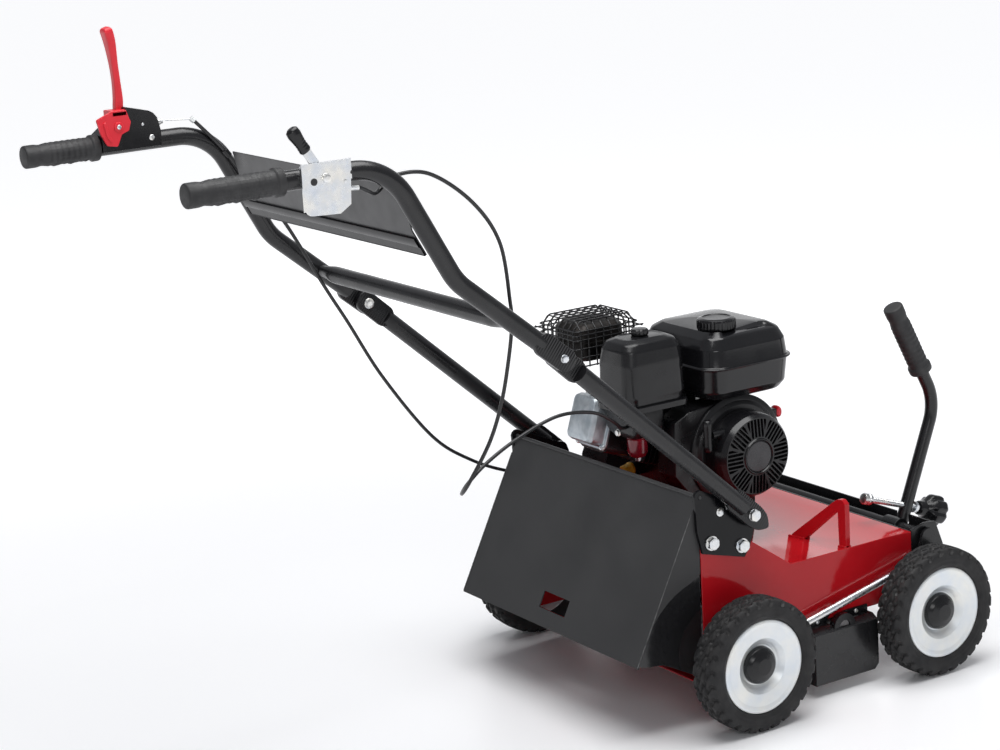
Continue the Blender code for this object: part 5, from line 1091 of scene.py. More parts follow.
def add_console():
    """Strip beside the lip: its section's points are shares of the way down the lip and heights off it."""
    dress("console_plate", "console_grey", 0.0005)
    run = unit(CONSOLE_FOOT - CONSOLE_FOLD)
    off = np.array((run[1], -run[0]))
    down = CONSOLE_FOOT - CONSOLE_FOLD
    loop = np.array([CONSOLE_FOLD + down * share + off * rise for share, rise in STRIP_SECTION])
    ends = [np.array([(side * (console_half(point) - 0.0005), *point) for point in loop]) for side in (-1, 1)]
    piece("console_strip", [closed(np.array(ends))], "bracket_black", "upper_handle", smooth=30, edge=0.0003)


add_console()

# %% [markdown]
# A grip is a rubber sleeve: a rounded cap at the end, a waist behind it, a ribbed middle with finger
# rests below, and a flange. The radius is a sum of those features along and round the sleeve.

# %% Grips
GRIP_RADIUS = 0.0162


def grip_body(start, end, radius, down=(0, 0, -1), fingers=0.0012):
    """Sleeve from its closed end to its flange: radius = waist + ribs + finger rests on its lower side."""
    start, end = np.asarray(start, float), np.asarray(end, float)
    length = np.linalg.norm(end - start)
    run = (end - start) / length
    along = np.concatenate([[0, 0.0004, 0.0012, 0.0026], np.linspace(0.004, length - 0.0125, 120),
                            [length - 0.011, length - 0.0098, length - 0.0085, length - 0.0012, length]])
    angle = all_round(64)[None]
    s = along[:, None]
    cap = np.interp(s, [0, 0.0004, 0.0012, 0.0026, 0.0045], [0.84, 0.92, 0.97, 0.995, 1.0])
    waist = 1 - 0.075 * np.exp(-((s - 0.024) / 0.0055) ** 2)
    body = soft_step(s, 0.030, 0.036) * (1 - soft_step(s, length - 0.020, length - 0.015))
    flute = body * 0.022 * np.cos(angle * 26)
    rings = body * 0.016 * np.cos(2 * np.pi * s / 0.0085)
    lip = 1 - 0.2 * soft_step(s, length - 0.002, length)
    flange = 1 + 0.17 * soft_step(s, length - 0.0115, length - 0.0095) * lip
    below = soft_step(np.clip(np.sin(angle), 0, 1), 0.75, 0.95)
    rests = body * fingers * np.clip(np.cos(2 * np.pi * (s - 0.045) / 0.024), 0, 1) * below
    size = radius * (cap * waist + flute + rings) * flange + rests
    side = unit(np.cross(run, down))
    return closed(set_out(start + s * run, side, np.cross(side, run), polar(size, angle)))


def add_hand_grips():
    """Both hand grips, placed by the boxes of their CAD sleeves."""
    for label, side in SIDES.items():
        low, high = node_box("grip_" + label)
        sleeve = grip_body((side * GRIP_X, low[1], GRIP_Z), (side * GRIP_X, high[1], GRIP_Z), GRIP_RADIUS)
        piece("grip_sleeve_" + label, [sleeve], "grip_rubber", "upper_handle", replaces=("grip_" + label,),
              smooth=60)


add_hand_grips()

# %% [markdown]
# ## Controls
# The clutch housing is a moulded black box on the left tube. A red lever straddles it and pulls the
# cable. The blade of the lever is slim, bends gently backwards and widens at its tip, so it is swept
# along a curve with a loop that grows; the cheek and the bridge are flat mouldings with rounded corners.

# %% Clutch lever
CLUTCH_PIVOT = (-0.685, 0.925)
CHEEK_GAP = 0.0205
CHEEK_THICKNESS = 0.004
BRIDGE_LEVELS = (0.9385, 0.9475)
BRIDGE_ENDS = (-0.6925, -0.6710)
BLADE_SPINE = [(-0.6735, 0.9400), (-0.6725, 0.9520), (-0.6716, 0.9640), (-0.6722, 0.9900), (-0.6742, 1.0200),
               (-0.6760, 1.0400), (-0.6785, 1.0540), (-0.6810, 1.0625)]
CHEEK_LOOP = [(-0.7177, 0.9378), (-0.7127, 0.9175), (-0.7039, 0.9001), (-0.6885, 0.8973), (-0.6808, 0.9140),
              (-0.6696, 0.9180), (-0.6656, 0.9297), (-0.6719, 0.9476), (-0.6940, 0.9476)]
RIB_LOOP = [(-0.7085, 0.9330), (-0.7045, 0.9140), (-0.6990, 0.9050), (-0.6955, 0.9060), (-0.7010, 0.9160),
            (-0.7040, 0.9335)]


def add_clutch_lever():
    """Blade, cheek with its rib, bridge, boss and pin in red plastic. The blade's half width and half depth
    are sums of soft steps of the share of its length."""
    x = -GRIP_X
    outer = x + CHEEK_GAP + CHEEK_THICKNESS
    line = resampled(smooth_route([(x, *point) for point in BLADE_SPINE], 0.002)[0], 48)
    t = np.linspace(0, 1, 48)
    wide = 0.0062 + 0.0035 * soft_step(t, 0.45, 0.95) - 0.0030 * soft_step(t, 0.97, 1.0)
    deep = 0.0062 - 0.0012 * soft_step(t, 0.1, 0.4) + 0.0016 * soft_step(t, 0.55, 0.95)
    deep = deep - 0.0022 * soft_step(t, 0.97, 1.0)
    loops = np.stack([rounded_box(w, d, 0.0022, 4) for w, d in zip(wide, deep)])
    blade = closed(swept(line, loops))
    cheek = prism(rounded_loop(CHEEK_LOOP, 0.003, 3), "x", x + CHEEK_GAP, outer)
    rib = prism(rounded_loop(RIB_LOOP, 0.001, 2), "x", outer - 0.0005, outer + 0.0022)
    inner = x - 0.0070
    low, high = BRIDGE_LEVELS
    bridge = prism(rounded_loop([(inner, low), (outer, low), (outer, high), (inner, high)], 0.002, 3),
                   "y", *BRIDGE_ENDS)
    boss = stacked((outer - 0.0004, *CLUTCH_PIVOT), X_AXIS,
                   [(0, 0.0072), (0.0016, 0.0070), (0.0022, 0.0062)], 32)
    pin = tube([(x - CHEEK_GAP, *CLUTCH_PIVOT), (outer + 0.0010, *CLUTCH_PIVOT)], 0.003, 20, (0, 1, 0))
    piece("clutch_lever_red", [blade, cheek, rib, bridge, boss, pin], "lever_red", "clutch_lever",
          replaces=("clutch_lever",), edge=0.0005)
    head = cross_screw((outer + 0.0016, *CLUTCH_PIVOT), X_AXIS, 0.0034, 0.0016)
    piece("clutch_pin_head", [head], "zinc_plate", "clutch_lever")


add_clutch_lever()

# %% [markdown]
# The housing keeps its CAD shape. What the eye looks for on it is bright: a clamp screw that is seen from
# both sides, a small pin, and the zinc adjuster where the wire goes in.

# %% Clutch housing
HOUSING_HALF = 0.0187
CLAMP_SCREW = (-0.6335, 0.9035)
SIDE_PIN = (-0.6455, 0.9235)
FERRULE_Z = 0.922


def add_clutch_housing_details():
    """Housing finish, its clamp screw from both sides, a small pin beside it, and the zinc adjuster."""
    dress("clutch_housing", "moulded_black", 0.0010)
    shapes = [cross_screw((-GRIP_X + HOUSING_HALF, *CLAMP_SCREW), X_AXIS, 0.0042, 0.0022),
              cross_screw((-GRIP_X + HOUSING_HALF, *SIDE_PIN), X_AXIS, 0.0020, 0.0010),
              cross_screw((-GRIP_X - HOUSING_HALF, *CLAMP_SCREW), -X_AXIS, 0.0042, 0.0022)]
    front = node_box("clutch_housing")[1][1]
    ferrule = stepped_bar((-GRIP_X, front - 0.0105, FERRULE_Z), (-GRIP_X, front + 0.0002, FERRULE_Z),
                          [(0, 0.0041), (0.30, 0.0041), (0.31, 0.0050), (0.62, 0.0050), (0.63, 0.0038),
                           (1, 0.0036)], 24)
    piece("clutch_fittings", shapes + [ferrule], "zinc_plate", "upper_handle", smooth=30)


add_clutch_housing_details()

# %% [markdown]
# The throttle bracket is a small zinc pressing on the right tube. Its lever is a flat zinc bar with a
# soft black knob. The knob is oval and waisted, with a few rings that a thumb can feel. So it is a loop
# carried along the lever, and its size changes on the way.

# %% Throttle bracket and lever
THROTTLE_PIVOT = (-0.635, 0.8962)
THROTTLE_LEAN = math.radians(32.5)
SMALL_SCREW = (-0.6075, 0.8890)
STOP_HOLE = (-0.6520, 0.8935)
WIRE_HOLE = (-0.5975, 0.8990)


def add_throttle():
    """Bracket finish with its screws and dark stops, the lever's bar and its knob."""
    dress("throttle_plate", "zinc_plate", 0.0006)
    plate_out = node_box("throttle_plate")[1][0] - 0.003
    piece("throttle_screws", [bolt((plate_out - 0.0002, *THROTTLE_PIVOT), X_AXIS, 0.0050, 0.0048, 1.3),
                              bolt((plate_out - 0.0006, *SMALL_SCREW), X_AXIS, 0.0022, 0.0016, 1.2)],
          "zinc_plate", "upper_handle")
    base = plate_out - 0.0004
    button = [(0, 0.0047), (0.0008, 0.0047), (0.0012, 0.0038)]
    piece("throttle_stop", [stacked((base, *STOP_HOLE), X_AXIS, button, 24),
                            stacked((base, *WIRE_HOLE), X_AXIS, [(0, 0.0024), (0.0008, 0.0022)], 24)],
          "grip_rubber", "upper_handle")
    centre_x = GRIP_X + TUBE_RADIUS + GAP + 0.0016
    up = np.array((0, -math.sin(THROTTLE_LEAN), math.cos(THROTTLE_LEAN)))
    pivot = np.array((centre_x, *THROTTLE_PIVOT))
    tip = pivot + up * 0.052
    bar = prism(capsule(pivot[1:], tip[1:], 0.0062), "x", centre_x - 0.0011, centre_x + 0.0011)
    piece("throttle_bar", [bar], "zinc_plate", "throttle_lever", replaces=("throttle_lever",), edge=0.0003)
    t = np.linspace(0, 1, 40)
    shape = np.interp(t, [0, 0.06, 0.30, 0.45, 0.75, 0.93, 1.0], [0.72, 0.86, 0.80, 0.84, 1.0, 0.92, 0.55])
    rings = 1 + 0.03 * np.cos(2 * np.pi * t * 9) * soft_step(t, 0.1, 0.2) * (1 - soft_step(t, 0.42, 0.5))
    loops = (shape * rings)[:, None, None] * circle(1.0, 40) * (0.0072, 0.0094)
    path = pivot + up * (0.043 + 0.036 * t)[:, None]
    piece("throttle_knob", [closed(swept(path, loops))], "moulded_black", "throttle_lever", smooth=60)


add_throttle()

# %% [markdown]
# ## Height lever
# A bent black tube with a rubber sleeve, welded over the front lift shaft by a half-round saddle. The
# tube is a circle along a line with one rounded corner, and the sleeve is a grip like those above.

# %% Height lever
LEVER_X = 0.165
LEVER_RADIUS = 0.010
FRONT_PIVOT = (0.3815, 0.198)
LEVER_LEAN = math.radians(21.9)
LEVER_OFFSET = 0.0139
LEVER_BEND_Z = 0.3835
LEVER_TOP = (0.3897, 0.5447)
LEVER_FOOT = 0.0085
SADDLE_RADII = (0.0104, 0.0150)
SADDLE_HALF = 0.016


def lever_point(distance):
    """Point on the lever's straight lower part, from beside the lift shaft's axis."""
    return (FRONT_PIVOT[0] + LEVER_OFFSET * math.cos(LEVER_LEAN) + distance * math.sin(LEVER_LEAN),
            FRONT_PIVOT[1] - LEVER_OFFSET * math.sin(LEVER_LEAN) + distance * math.cos(LEVER_LEAN))


def add_height_lever():
    """Tube, half-round saddle and sleeve: the tube's bend lies where its lower part reaches a height."""
    bend = lever_point((LEVER_BEND_Z - lever_point(0)[1]) / math.cos(LEVER_LEAN))
    foot = lever_point(LEVER_FOOT)
    top = np.array((LEVER_X, *LEVER_TOP))
    corner = np.array((LEVER_X, *bend))
    line = rounded([(LEVER_X, *foot), corner, top], 0.075, 16)
    arc = polar(1.0, np.linspace(-0.06, math.pi + 0.06, 32))
    outline = np.concatenate([arc * SADDLE_RADII[1], arc[::-1] * SADDLE_RADII[0]]) + FRONT_PIVOT
    saddle = prism(outline, "x", LEVER_X - SADDLE_HALF, LEVER_X + SADDLE_HALF)
    piece("lever_tube", [tube(line, LEVER_RADIUS, 36), saddle], "black_coat", "front_axle",
          replaces=("height_lever",), edge=0.0004)
    back = unit(corner - top)
    sleeve = grip_body(top - back * 0.003, top + back * 0.120, 0.0156, down=(0, 1, -0.2), fingers=0.0)
    piece("lever_sleeve", [sleeve], "grip_rubber", "front_axle", replaces=("lever_grip",), smooth=60)


add_height_lever()

# %% [markdown]
# A long zinc screw goes through the lever's foot and sets how deep the rotor works; a black star knob
# turns it. The thread is real: the screw's radius rises and falls with the angle plus the distance along
# it. The knob is a turned profile too, with hollows as a wave of the angle.

# %% Depth screw and its knob
SCREW_CROSSING = 0.0350
SCREW_TILT = math.radians(19.0)
HEAD_PROFILE = [(0, 0.0060), (0.05, 0.0080), (0.14, 0.0088), (0.42, 0.0088), (0.50, 0.0078), (0.56, 0.0078),
                (0.62, 0.0088), (0.86, 0.0088), (0.95, 0.0076), (1.0, 0.0055)]
KNOB_PROFILE = [(0, 0.0100), (0.05, 0.0112), (0.24, 0.0124), (0.34, 0.0165), (0.44, 0.0215), (0.52, 0.0240),
                (0.60, 0.0245), (0.86, 0.0245), (0.94, 0.0232), (0.985, 0.0205), (1.0, 0.0150)]


def threaded(start, end, radius, pitch, depth):
    """Screw thread: radius + depth * a wave of (angle / turn - distance / pitch)."""
    start, end = np.asarray(start, float), np.asarray(end, float)
    length = np.linalg.norm(end - start)
    along = np.linspace(0, length, int(length / pitch * 6))[:, None]
    angle = all_round(18)[None]
    phase = (angle / (2 * np.pi) - along / pitch) % 1.0
    size = radius - depth * np.abs(2 * phase - 1)
    run = (end - start) / length
    side = unit(np.cross(run, X_AXIS))
    return closed(set_out(start + along * run, side, np.cross(run, side), polar(size, angle)))


def lobed(start, end, profile, lobes=6):
    """Star knob: a turned profile whose wide part has round hollows between its lobes."""
    start, end, profile = (np.asarray(a, float) for a in (start, end, profile))
    line = resampled(profile, 40)
    angle = all_round(96)[None]
    share = soft_step(line[:, 1:], 0.0150, 0.0225)
    hollow = 1 - 0.14 * share * np.clip(np.cos(lobes * angle), 0, 1) ** 1.5
    loops = polar(line[:, 1:] * hollow, angle)
    path = start + (end - start) * line[:, :1]
    return closed(set_out(path, X_AXIS, np.cross(unit(end - start), X_AXIS), loops))


def add_depth_screw():
    """Threaded rod with its rear head and nut, and the star knob in front."""
    ahead = np.array((0, math.cos(SCREW_TILT), -math.sin(SCREW_TILT)))
    middle = np.array((LEVER_X, *lever_point(SCREW_CROSSING)))
    rod = threaded(middle - ahead * 0.080, middle + ahead * 0.030, 0.0049, 0.0015, 0.0005)
    head = stepped_bar(middle - ahead * 0.0934, middle - ahead * 0.0764, HEAD_PROFILE, 36)
    nut = bolt(middle + ahead * 0.0150, ahead, 0.0078, 0.0070, 1.15)
    piece("depth_rod", [rod, head, nut], "zinc_plate", "depth_screw", replaces=("depth_screw",), smooth=35)
    knob = lobed(middle + ahead * 0.0246, middle + ahead * 0.0726, KNOB_PROFILE)
    piece("depth_knob", [knob], "moulded_black", "depth_screw", smooth=50)


add_depth_screw()

# %% [markdown]
# ## Lift linkage
# A bright rod ties the front arms to the rear ones, so that one lever lifts all four wheels. Its ends are
# pressed flat where they sit on the arms' pins, and each pin carries a washer and a nut. One sweep makes
# the rod and both ends, because its loop goes from round to flat by a soft step.

# %% Tie rod, arms and pins
DECK_HALF = 0.236
ARM_THICKNESS = 0.005
REAR_ROD_EYE = (0.045, 0.103)
FRONT_ROD_EYE = (0.3765, 0.172)
ROD_RADIUS = 0.0058
EYE_HALF = 0.0072
EYE_THICKNESS = 0.0025


def add_tie_rod():
    """Round rod that flattens towards its eyes: the loop's width and height change by a soft step."""
    face = DECK_HALF + 0.0035 + ARM_THICKNESS + GAP
    middle = face + 0.0030
    rear = np.array((middle, *REAR_ROD_EYE))
    front = np.array((middle, *FRONT_ROD_EYE))
    run = unit(front - rear)
    length = np.linalg.norm(front - rear)
    along = np.linspace(-EYE_HALF, 0.042, 40)
    along = np.concatenate([along, length - along[::-1]])
    near = np.minimum(along, length - along)
    flat = 1 - soft_step(near, 0.016, 0.034)
    tip = np.clip(near / EYE_HALF, -0.995, 0)
    half_x = ROD_RADIUS * (1 - flat) + EYE_THICKNESS * flat
    half_w = (ROD_RADIUS * (1 - flat) + EYE_HALF * flat) * np.sqrt(1 - tip ** 2)
    loops = circle(1.0, 32) * np.stack([half_x, half_w], 1)[:, None]
    path = rear + run * along[:, None]
    path[:, 0] = middle + 0.0030 * (1 - flat)
    rod = closed(set_out(path, X_AXIS, np.cross(run, X_AXIS), loops))
    piece("tie_rod_bar", [rod], "zinc_plate", "tie_rod", replaces=("tie_rod",))
    for name, eye in (("rear", REAR_ROD_EYE), ("front", FRONT_ROD_EYE)):
        nut = bolt((face + 0.0062, *eye), X_AXIS, 0.0062, 0.0052, 1.35)
        piece("rod_nut_" + name, [nut], "zinc_plate", name + "_axle")


add_tie_rod()
for arm_node in ("front_axle", "rear_axle"):
    dress(arm_node, "black_coat", 0.0006)

# %% [markdown]
# ## Deck
# The deck is one pressing with folded edges, so the CAD part is right as it is. It gets its enamel and a
# small bevel, and on top of that what is fastened to it: the brackets' bolts and the guards' screws.

# %% Deck, channel and guards
BRACKET_BOLTS = ((-0.033, 0.2785), (0.022, 0.263))
RINGED_SCREW = (-0.0153, 0.3220)
GUARD_SCREWS = ((0.160, 0.1110), (0.236, 0.1110))


def add_deck():
    """Finishes of the deck's parts, and the bolts on its sides."""
    dress("deck_shell", "red_enamel", 0.0007)
    dress("front_channel", "black_coat", 0.0007)
    for name in ("side_guard_right", "side_guard_left", "belt_cover"):
        dress(name, "black_coat", 0.0010)
    face = DECK_HALF + GAP + 0.005 - 0.0003
    end = LOWER_FOLD[0] + KNUCKLE_WIDTH / 2 + 0.0001
    for label, side in SIDES.items():
        dress("handle_bracket_" + label, "bracket_black", 0.0005)
        out = (side, 0, 0)
        heads = [bolt((side * face, *place), out, 0.0086, 0.0078, 1.30) for place in BRACKET_BOLTS]
        heads.append(bolt((side * end, *LOWER_FOLD[1:]), out, 0.0080, 0.0066, 1.12))
        heads.append(bolt((side * face, *RINGED_SCREW), out, 0.0040, 0.0034, 1.7))
        piece("bracket_bolts_" + label, heads, "zinc_plate", "chassis")
        screws = [cross_screw((side * (DECK_HALF + 0.0032), *place), out, 0.0036, 0.0022)
                  for place in GUARD_SCREWS]
        piece("guard_screws_" + label, screws, "zinc_plate", "chassis", smooth=30)


add_deck()

# %% [markdown]
# The lifting strap is one flat bar bent to a lopsided arch: a long slanting leg on the inside, a short
# upright one beside the deck's edge. Seen square on it is an outline with round corners, drawn out to the
# bar's width. Thin beads along its feet stand for the welds.

# %% Lifting strap
STRAP = [(0.1290, 0.2130), (0.2155, 0.2835), (0.2215, 0.2868), (0.2285, 0.2868), (0.2345, 0.2810),
         (0.2345, 0.2130), (0.2215, 0.2130), (0.2205, 0.2660), (0.2170, 0.2668), (0.1575, 0.2130)]
STRAP_SIDES = (0.2010, 0.2095)
STRAP_FEET = ((0.1285, 0.1580), (0.2212, 0.2340))
STRAP_SKEW = 0.22
WELD_RADIUS = 0.0021


def add_strap():
    """Outline in (across, up) with its outer corners rounded, drawn out along the machine. The bar stands at
    an angle to the deck, so every point moves forward by a share of its distance from the left foot."""
    shapes = [prism(rounded_loop(STRAP, 0.004, 4), "y", *STRAP_SIDES)]
    shapes += [tube([(low, y, 0.2132), (high, y, 0.2132)], WELD_RADIUS, 12, (0, 1, 0))
               for low, high in STRAP_FEET for y in (STRAP_SIDES[0] - 0.0004, STRAP_SIDES[1] + 0.0004)]
    for points, _ in shapes:
        points[:, 1] += STRAP_SKEW * (points[:, 0] - STRAP[0][0])
    piece("lifting_strap", shapes, "red_enamel", "chassis", replaces=("lifting_handle",), edge=0.0009)


add_strap()

# %% [markdown]
# ## Rear flap
# The flap is folded sheet with a satin coat: a back, a turned-in cheek on each side that closes the gap to
# the deck, and a hand slot. The back is the CAD part, and the cheeks are thin outlines beside it. The cheeks'
# darker, glossier coat and their front reaching down below the flap's foot are painted shade for the dark gap
# beside the flap.

# %% Rear flap
# The cheek's front reaches down to 0.083 m, below the flap's foot: a dark sheet that paints the shade in the
# gap there.
FLAP_CHEEK = [(-0.0535, 0.3340), (-0.0640, 0.3180), (-0.1680, 0.1190), (-0.1480, 0.1150), (-0.1234, 0.1125),
              (-0.0680, 0.0830), (-0.0535, 0.0830)]
CHEEK_SIDES = (0.2333, 0.2352)
TURNED_EDGE = [(-0.0538, 0.3200), (-0.0524, 0.3200), (-0.0524, 0.0850), (-0.0538, 0.0850)]
EDGE_SIDES = (0.2260, 0.2345)
FOLD_EDGE = [(0.2356, -0.0640, 0.3262), (0.2356, -0.1700, 0.1200)]
FOLD_BEAD = 0.0006


def add_flap():
    """Finish of the sheet, both cheeks as thin plates with a turned front edge in a darker coat that paints
    shade, and thin light grey beads along the folds that paint their highlight.
    """
    dress("rear_flap", "flap_coat", 0.0005)
    cheeks, beads = [], []
    for side in (-1, 1):
        for outline, sides in ((rounded_loop(FLAP_CHEEK, 0.003, 3), CHEEK_SIDES), (TURNED_EDGE, EDGE_SIDES)):
            cheeks.append(prism(outline, "x", *sorted(side * x for x in sides)))
        beads.append(tube([sided(side, point) for point in FOLD_EDGE], FOLD_BEAD, 10))
    # The cheeks' darker gloss paints the shade in the gap beside the flap.
    piece("flap_cheeks", cheeks, "cheek_painted_shade", "rear_flap", edge=0.0004)
    # The beads' light grey paints the highlight along the folds.
    piece("flap_fold_edges", beads, "painted_fold_highlight", "rear_flap")


add_flap()

# %% [markdown]
# ## Engine
# The engine is what the eye goes to, so most of its covers are made again. The block keeps its CAD shape.
# The blower is a shroud drawn out along the shaft with a turned ring in front, and the switch's red knob
# is a stack of ovals on a short neck.

# %% Engine block, blower and switch
CRANK = (0.146, 0.351)
BLOWER_FACE = 0.0853
BLOWER_DEPTH = 0.055
BLOWER_RADIUS = 0.0845
SHROUD_BACK = [(0.060, 0.424), (0.034, 0.412), (0.030, 0.330), (0.062, 0.290)]
SWITCH = (0.0653, 0.2327, 0.3933)
SWITCH_NECK = [(0.205, 0.3850), (0.2290, 0.3868), (0.2290, 0.3998), (0.205, 0.4016)]
SWITCH_NECK_HALF = 0.0085
KNOB_LEVELS = np.array([(-0.0085, 0.0052), (-0.0078, 0.0074), (-0.0050, 0.0088), (0.0, 0.0093),
                        (0.0050, 0.0088), (0.0078, 0.0074), (0.0085, 0.0052)])


def add_engine_block():
    """Shroud drawn out along the shaft, a turned fan ring with its rolled rim, and the switch on its neck."""
    dress("engine_block", "engine_coat", 0.0010)
    arc = polar(BLOWER_RADIUS, np.radians(np.linspace(-100, 110, 72))) + CRANK
    low = BLOWER_FACE - BLOWER_DEPTH
    shroud = prism(np.concatenate([arc, SHROUD_BACK]), "x", low, BLOWER_FACE - 0.012)
    shoulder = BLOWER_RADIUS - 0.004
    fan = turned(rounded([(0, low + 0.010), (shoulder, low + 0.010), (shoulder, BLOWER_FACE - 0.006),
                          (BLOWER_RADIUS - 0.012, BLOWER_FACE), (0, BLOWER_FACE)], 0.003, 4), "x", CRANK, 96)
    neck = prism(rounded_loop(SWITCH_NECK, 0.002, 3), "x", SWITCH[0] - SWITCH_NECK_HALF,
                 SWITCH[0] + SWITCH_NECK_HALF)
    piece("blower_shell", [shroud, closed(fan), neck], "engine_coat", "chassis", replaces=("blower_housing",),
          edge=0.0014)
    middle = np.array(SWITCH) + (0, 0.0015, 0) + KNOB_LEVELS[:, :1] * X_AXIS
    ovals = KNOB_LEVELS[:, 1:, None] * circle(1.0, 48) * (0.62, 1.0)
    knob = set_out(middle, np.array((0, 1.0, 0)), np.array((0, 0, 1.0)), ovals)
    piece("switch_knob", [closed(knob)], "lever_red", "engine_switch", replaces=("engine_switch",))
    rim = turned(rounded_loop([(0.0770, BLOWER_FACE - 0.0130), (0.0868, BLOWER_FACE - 0.0130),
                               (0.0868, BLOWER_FACE - 0.0075), (0.0770, BLOWER_FACE - 0.0035)], 0.0015, 3),
                 "x", CRANK, 96)
    piece("blower_rim", [ring(rim)], "engine_coat", "chassis")
    dress("choke_lever", "moulded_black", 0.0004)


add_engine_block()

# %% [markdown]
# The recoil cover is a moulded dome with eight fans of narrow slots between wide spokes, and a dished
# round plate in the middle. The slots are part of the turned surface: on a fine grid of rings and spokes,
# each point that lies inside a slot is pushed in. A point's distance across its fan's middle line says
# which slot it is in, so that the slots of a fan lie side by side. Cutting them with Boolean would leave
# ragged shading.

# %% Recoil cover
SLOT_FAN = math.radians(45)
SLOT_PITCH = 0.0063
SLOT_DEPTH = 0.0075
SLOT_RADII = (0.0302, 0.0576)
GUIDE_LENGTH = 0.022
GUIDE_RADIUS = 0.0068


def recoil_rows(face, base, steps=720):
    """Turned profile, pushed in inside a fan where abs(across mod pitch - pitch / 2) < 0.31 * pitch."""
    wall = rounded([(0.0660, base), (0.0660, face - 0.0260), (0.0640, face - 0.0120),
                    (0.0596, face - 0.0052)], 0.006, 5)
    front = np.linspace(0.0592, 0.0282, 98)
    front = np.stack([front, face - 0.0046 + 0.0026 * (0.0592 - front) / 0.0310], 1)
    hub = [(0.0276, face - 0.0012), (0.0270, face + 0.0002), (0.0256, face + 0.0004), (0.0246, face - 0.0010),
           (0.0240, face - 0.0022), (0.0, face - 0.0022)]
    profile = np.concatenate([wall, front, hub])
    rows = turned(profile, "x", CRANK, steps)
    fan = (all_round(steps)[None] + SLOT_FAN / 2) % SLOT_FAN - SLOT_FAN / 2
    radius = profile[:, :1]
    across = radius * np.sin(fan)
    inside = np.abs(across % SLOT_PITCH - SLOT_PITCH / 2) < SLOT_PITCH * 0.31
    inside &= (np.abs(fan) < SLOT_FAN * 0.44) & (profile[:, 1:] > face - 0.008)
    inside &= (radius > SLOT_RADII[0]) & (radius < SLOT_RADII[1])
    rows[..., 0] -= np.where(inside, SLOT_DEPTH, 0)
    return rows


def add_recoil():
    """Slotted cover with its rope guide, and the round plate in its middle."""
    low, high = node_box("recoil_cover")
    face, base = high[0], low[0]
    grip_low, grip_high = node_box("starter_grip")
    grip = (grip_low + grip_high) / 2
    guide_start = grip[1] + 0.0066 + GAP
    guide = tube([(grip[0], guide_start, grip[2]), (grip[0], guide_start + GUIDE_LENGTH, grip[2])],
                 GUIDE_RADIUS, 28)
    piece("recoil_dome", [closed(recoil_rows(face, base)), guide], "moulded_black", "chassis",
          replaces=("recoil_cover",), smooth=35)
    badge = turned(rounded([(0, face - 0.0004), (0.0100, face - 0.0007), (0.0224, face - 0.0012),
                            (0.0238, face - 0.0016), (0.0238, face - 0.0030), (0, face - 0.0030)], 0.002, 4),
                   "x", CRANK, 64)
    piece("recoil_badge", [closed(badge)], "badge_grey", "chassis")
    print("recoil cover from", round(float(base), 4), "to", round(float(face), 4))


add_recoil()

# %% [markdown]
# The tank is two pressings joined at a thin seam. Its top is crowned and has two shallow recesses beside
# the cap. On a grid that runs from the edge to the middle, a recess is only a smooth dip of the height.

# %% Fuel tank
TANK = (0.010, 0.1625)
TANK_HALF = (0.095, 0.0825)
TANK_LOW = 0.436
TANK_HIGH = 0.545
TANK_CAP = (0.050, 0.1365)
SEAM_HEIGHT = 0.053
LONG_DIP = ((0.086, 0.150), (0.078, 0.206), 0.0070, 0.0045)
NEAR_DIP = ((0.078, 0.088), (0.040, 0.088), 0.0075, 0.0035)


def dip(x, y, start, end, width, depth):
    """Smooth hollow along a line on the tank's top: depth where the distance to the line is small."""
    start, end = np.array(start), np.array(end)
    run = end - start
    share = np.clip(((x - start[0]) * run[0] + (y - start[1]) * run[1]) / (run @ run), 0, 1)
    away = np.hypot(x - start[0] - share * run[0], y - start[1] - share * run[1])
    return depth * (1 - soft_step(away, width * 0.65, width))


def tank_rows():
    """Stack of rounded boxes: (height, growth) up the sides over the seam, then in over the crowned top."""
    seam = TANK_LOW + SEAM_HEIGHT
    wall = rounded([(TANK_LOW, -0.020), (TANK_LOW + 0.003, -0.012), (TANK_LOW + 0.014, -0.004),
                    (seam - 0.0015, 0.0), (seam - 0.0015, 0.0045),
                    (seam + 0.0015, 0.0045), (seam + 0.0015, 0.0),
                    (TANK_HIGH - 0.028, -0.003), (TANK_HIGH - 0.012, -0.011), (TANK_HIGH - 0.0045, -0.024)],
                   0.008, 5)
    share = np.linspace(0, 1, 26)[1:]
    top = np.stack([TANK_HIGH - 0.0045 * (1 - share) ** 2, -0.024 - share * 0.0575], 1)
    levels = np.concatenate([wall, top])
    loops = np.stack([rounded_box(TANK_HALF[0] + g, TANK_HALF[1] + g, max(0.034 + g * 0.55, 0.0009), 10)
                      for g in levels[:, 1]])
    rows = level_rows(TANK, loops, levels[:, 0])
    upper = rows[..., 2] > TANK_HIGH - 0.014
    x, y = rows[..., 0], rows[..., 1]
    away = np.hypot(x - TANK_CAP[0], y - TANK_CAP[1])
    seat = 0.0060 * (1 - soft_step(away, 0.0315, 0.0345))
    rows[..., 2] -= np.where(upper, seat + dip(x, y, *LONG_DIP) + dip(x, y, *NEAR_DIP), 0)
    return rows


piece("fuel_tank_shell", [closed(tank_rows())], "tank_coat", "chassis", replaces=("fuel_tank",), smooth=50)

# %% [markdown]
# The fuel cap has a ribbed skirt, so that a gloved hand can turn it, and a sunk top. Its profile is
# turned, and the radius is made a little smaller in a wave of 32 ribs, only where the skirt is.

# %% Fuel cap
CAP_RIBS = 32


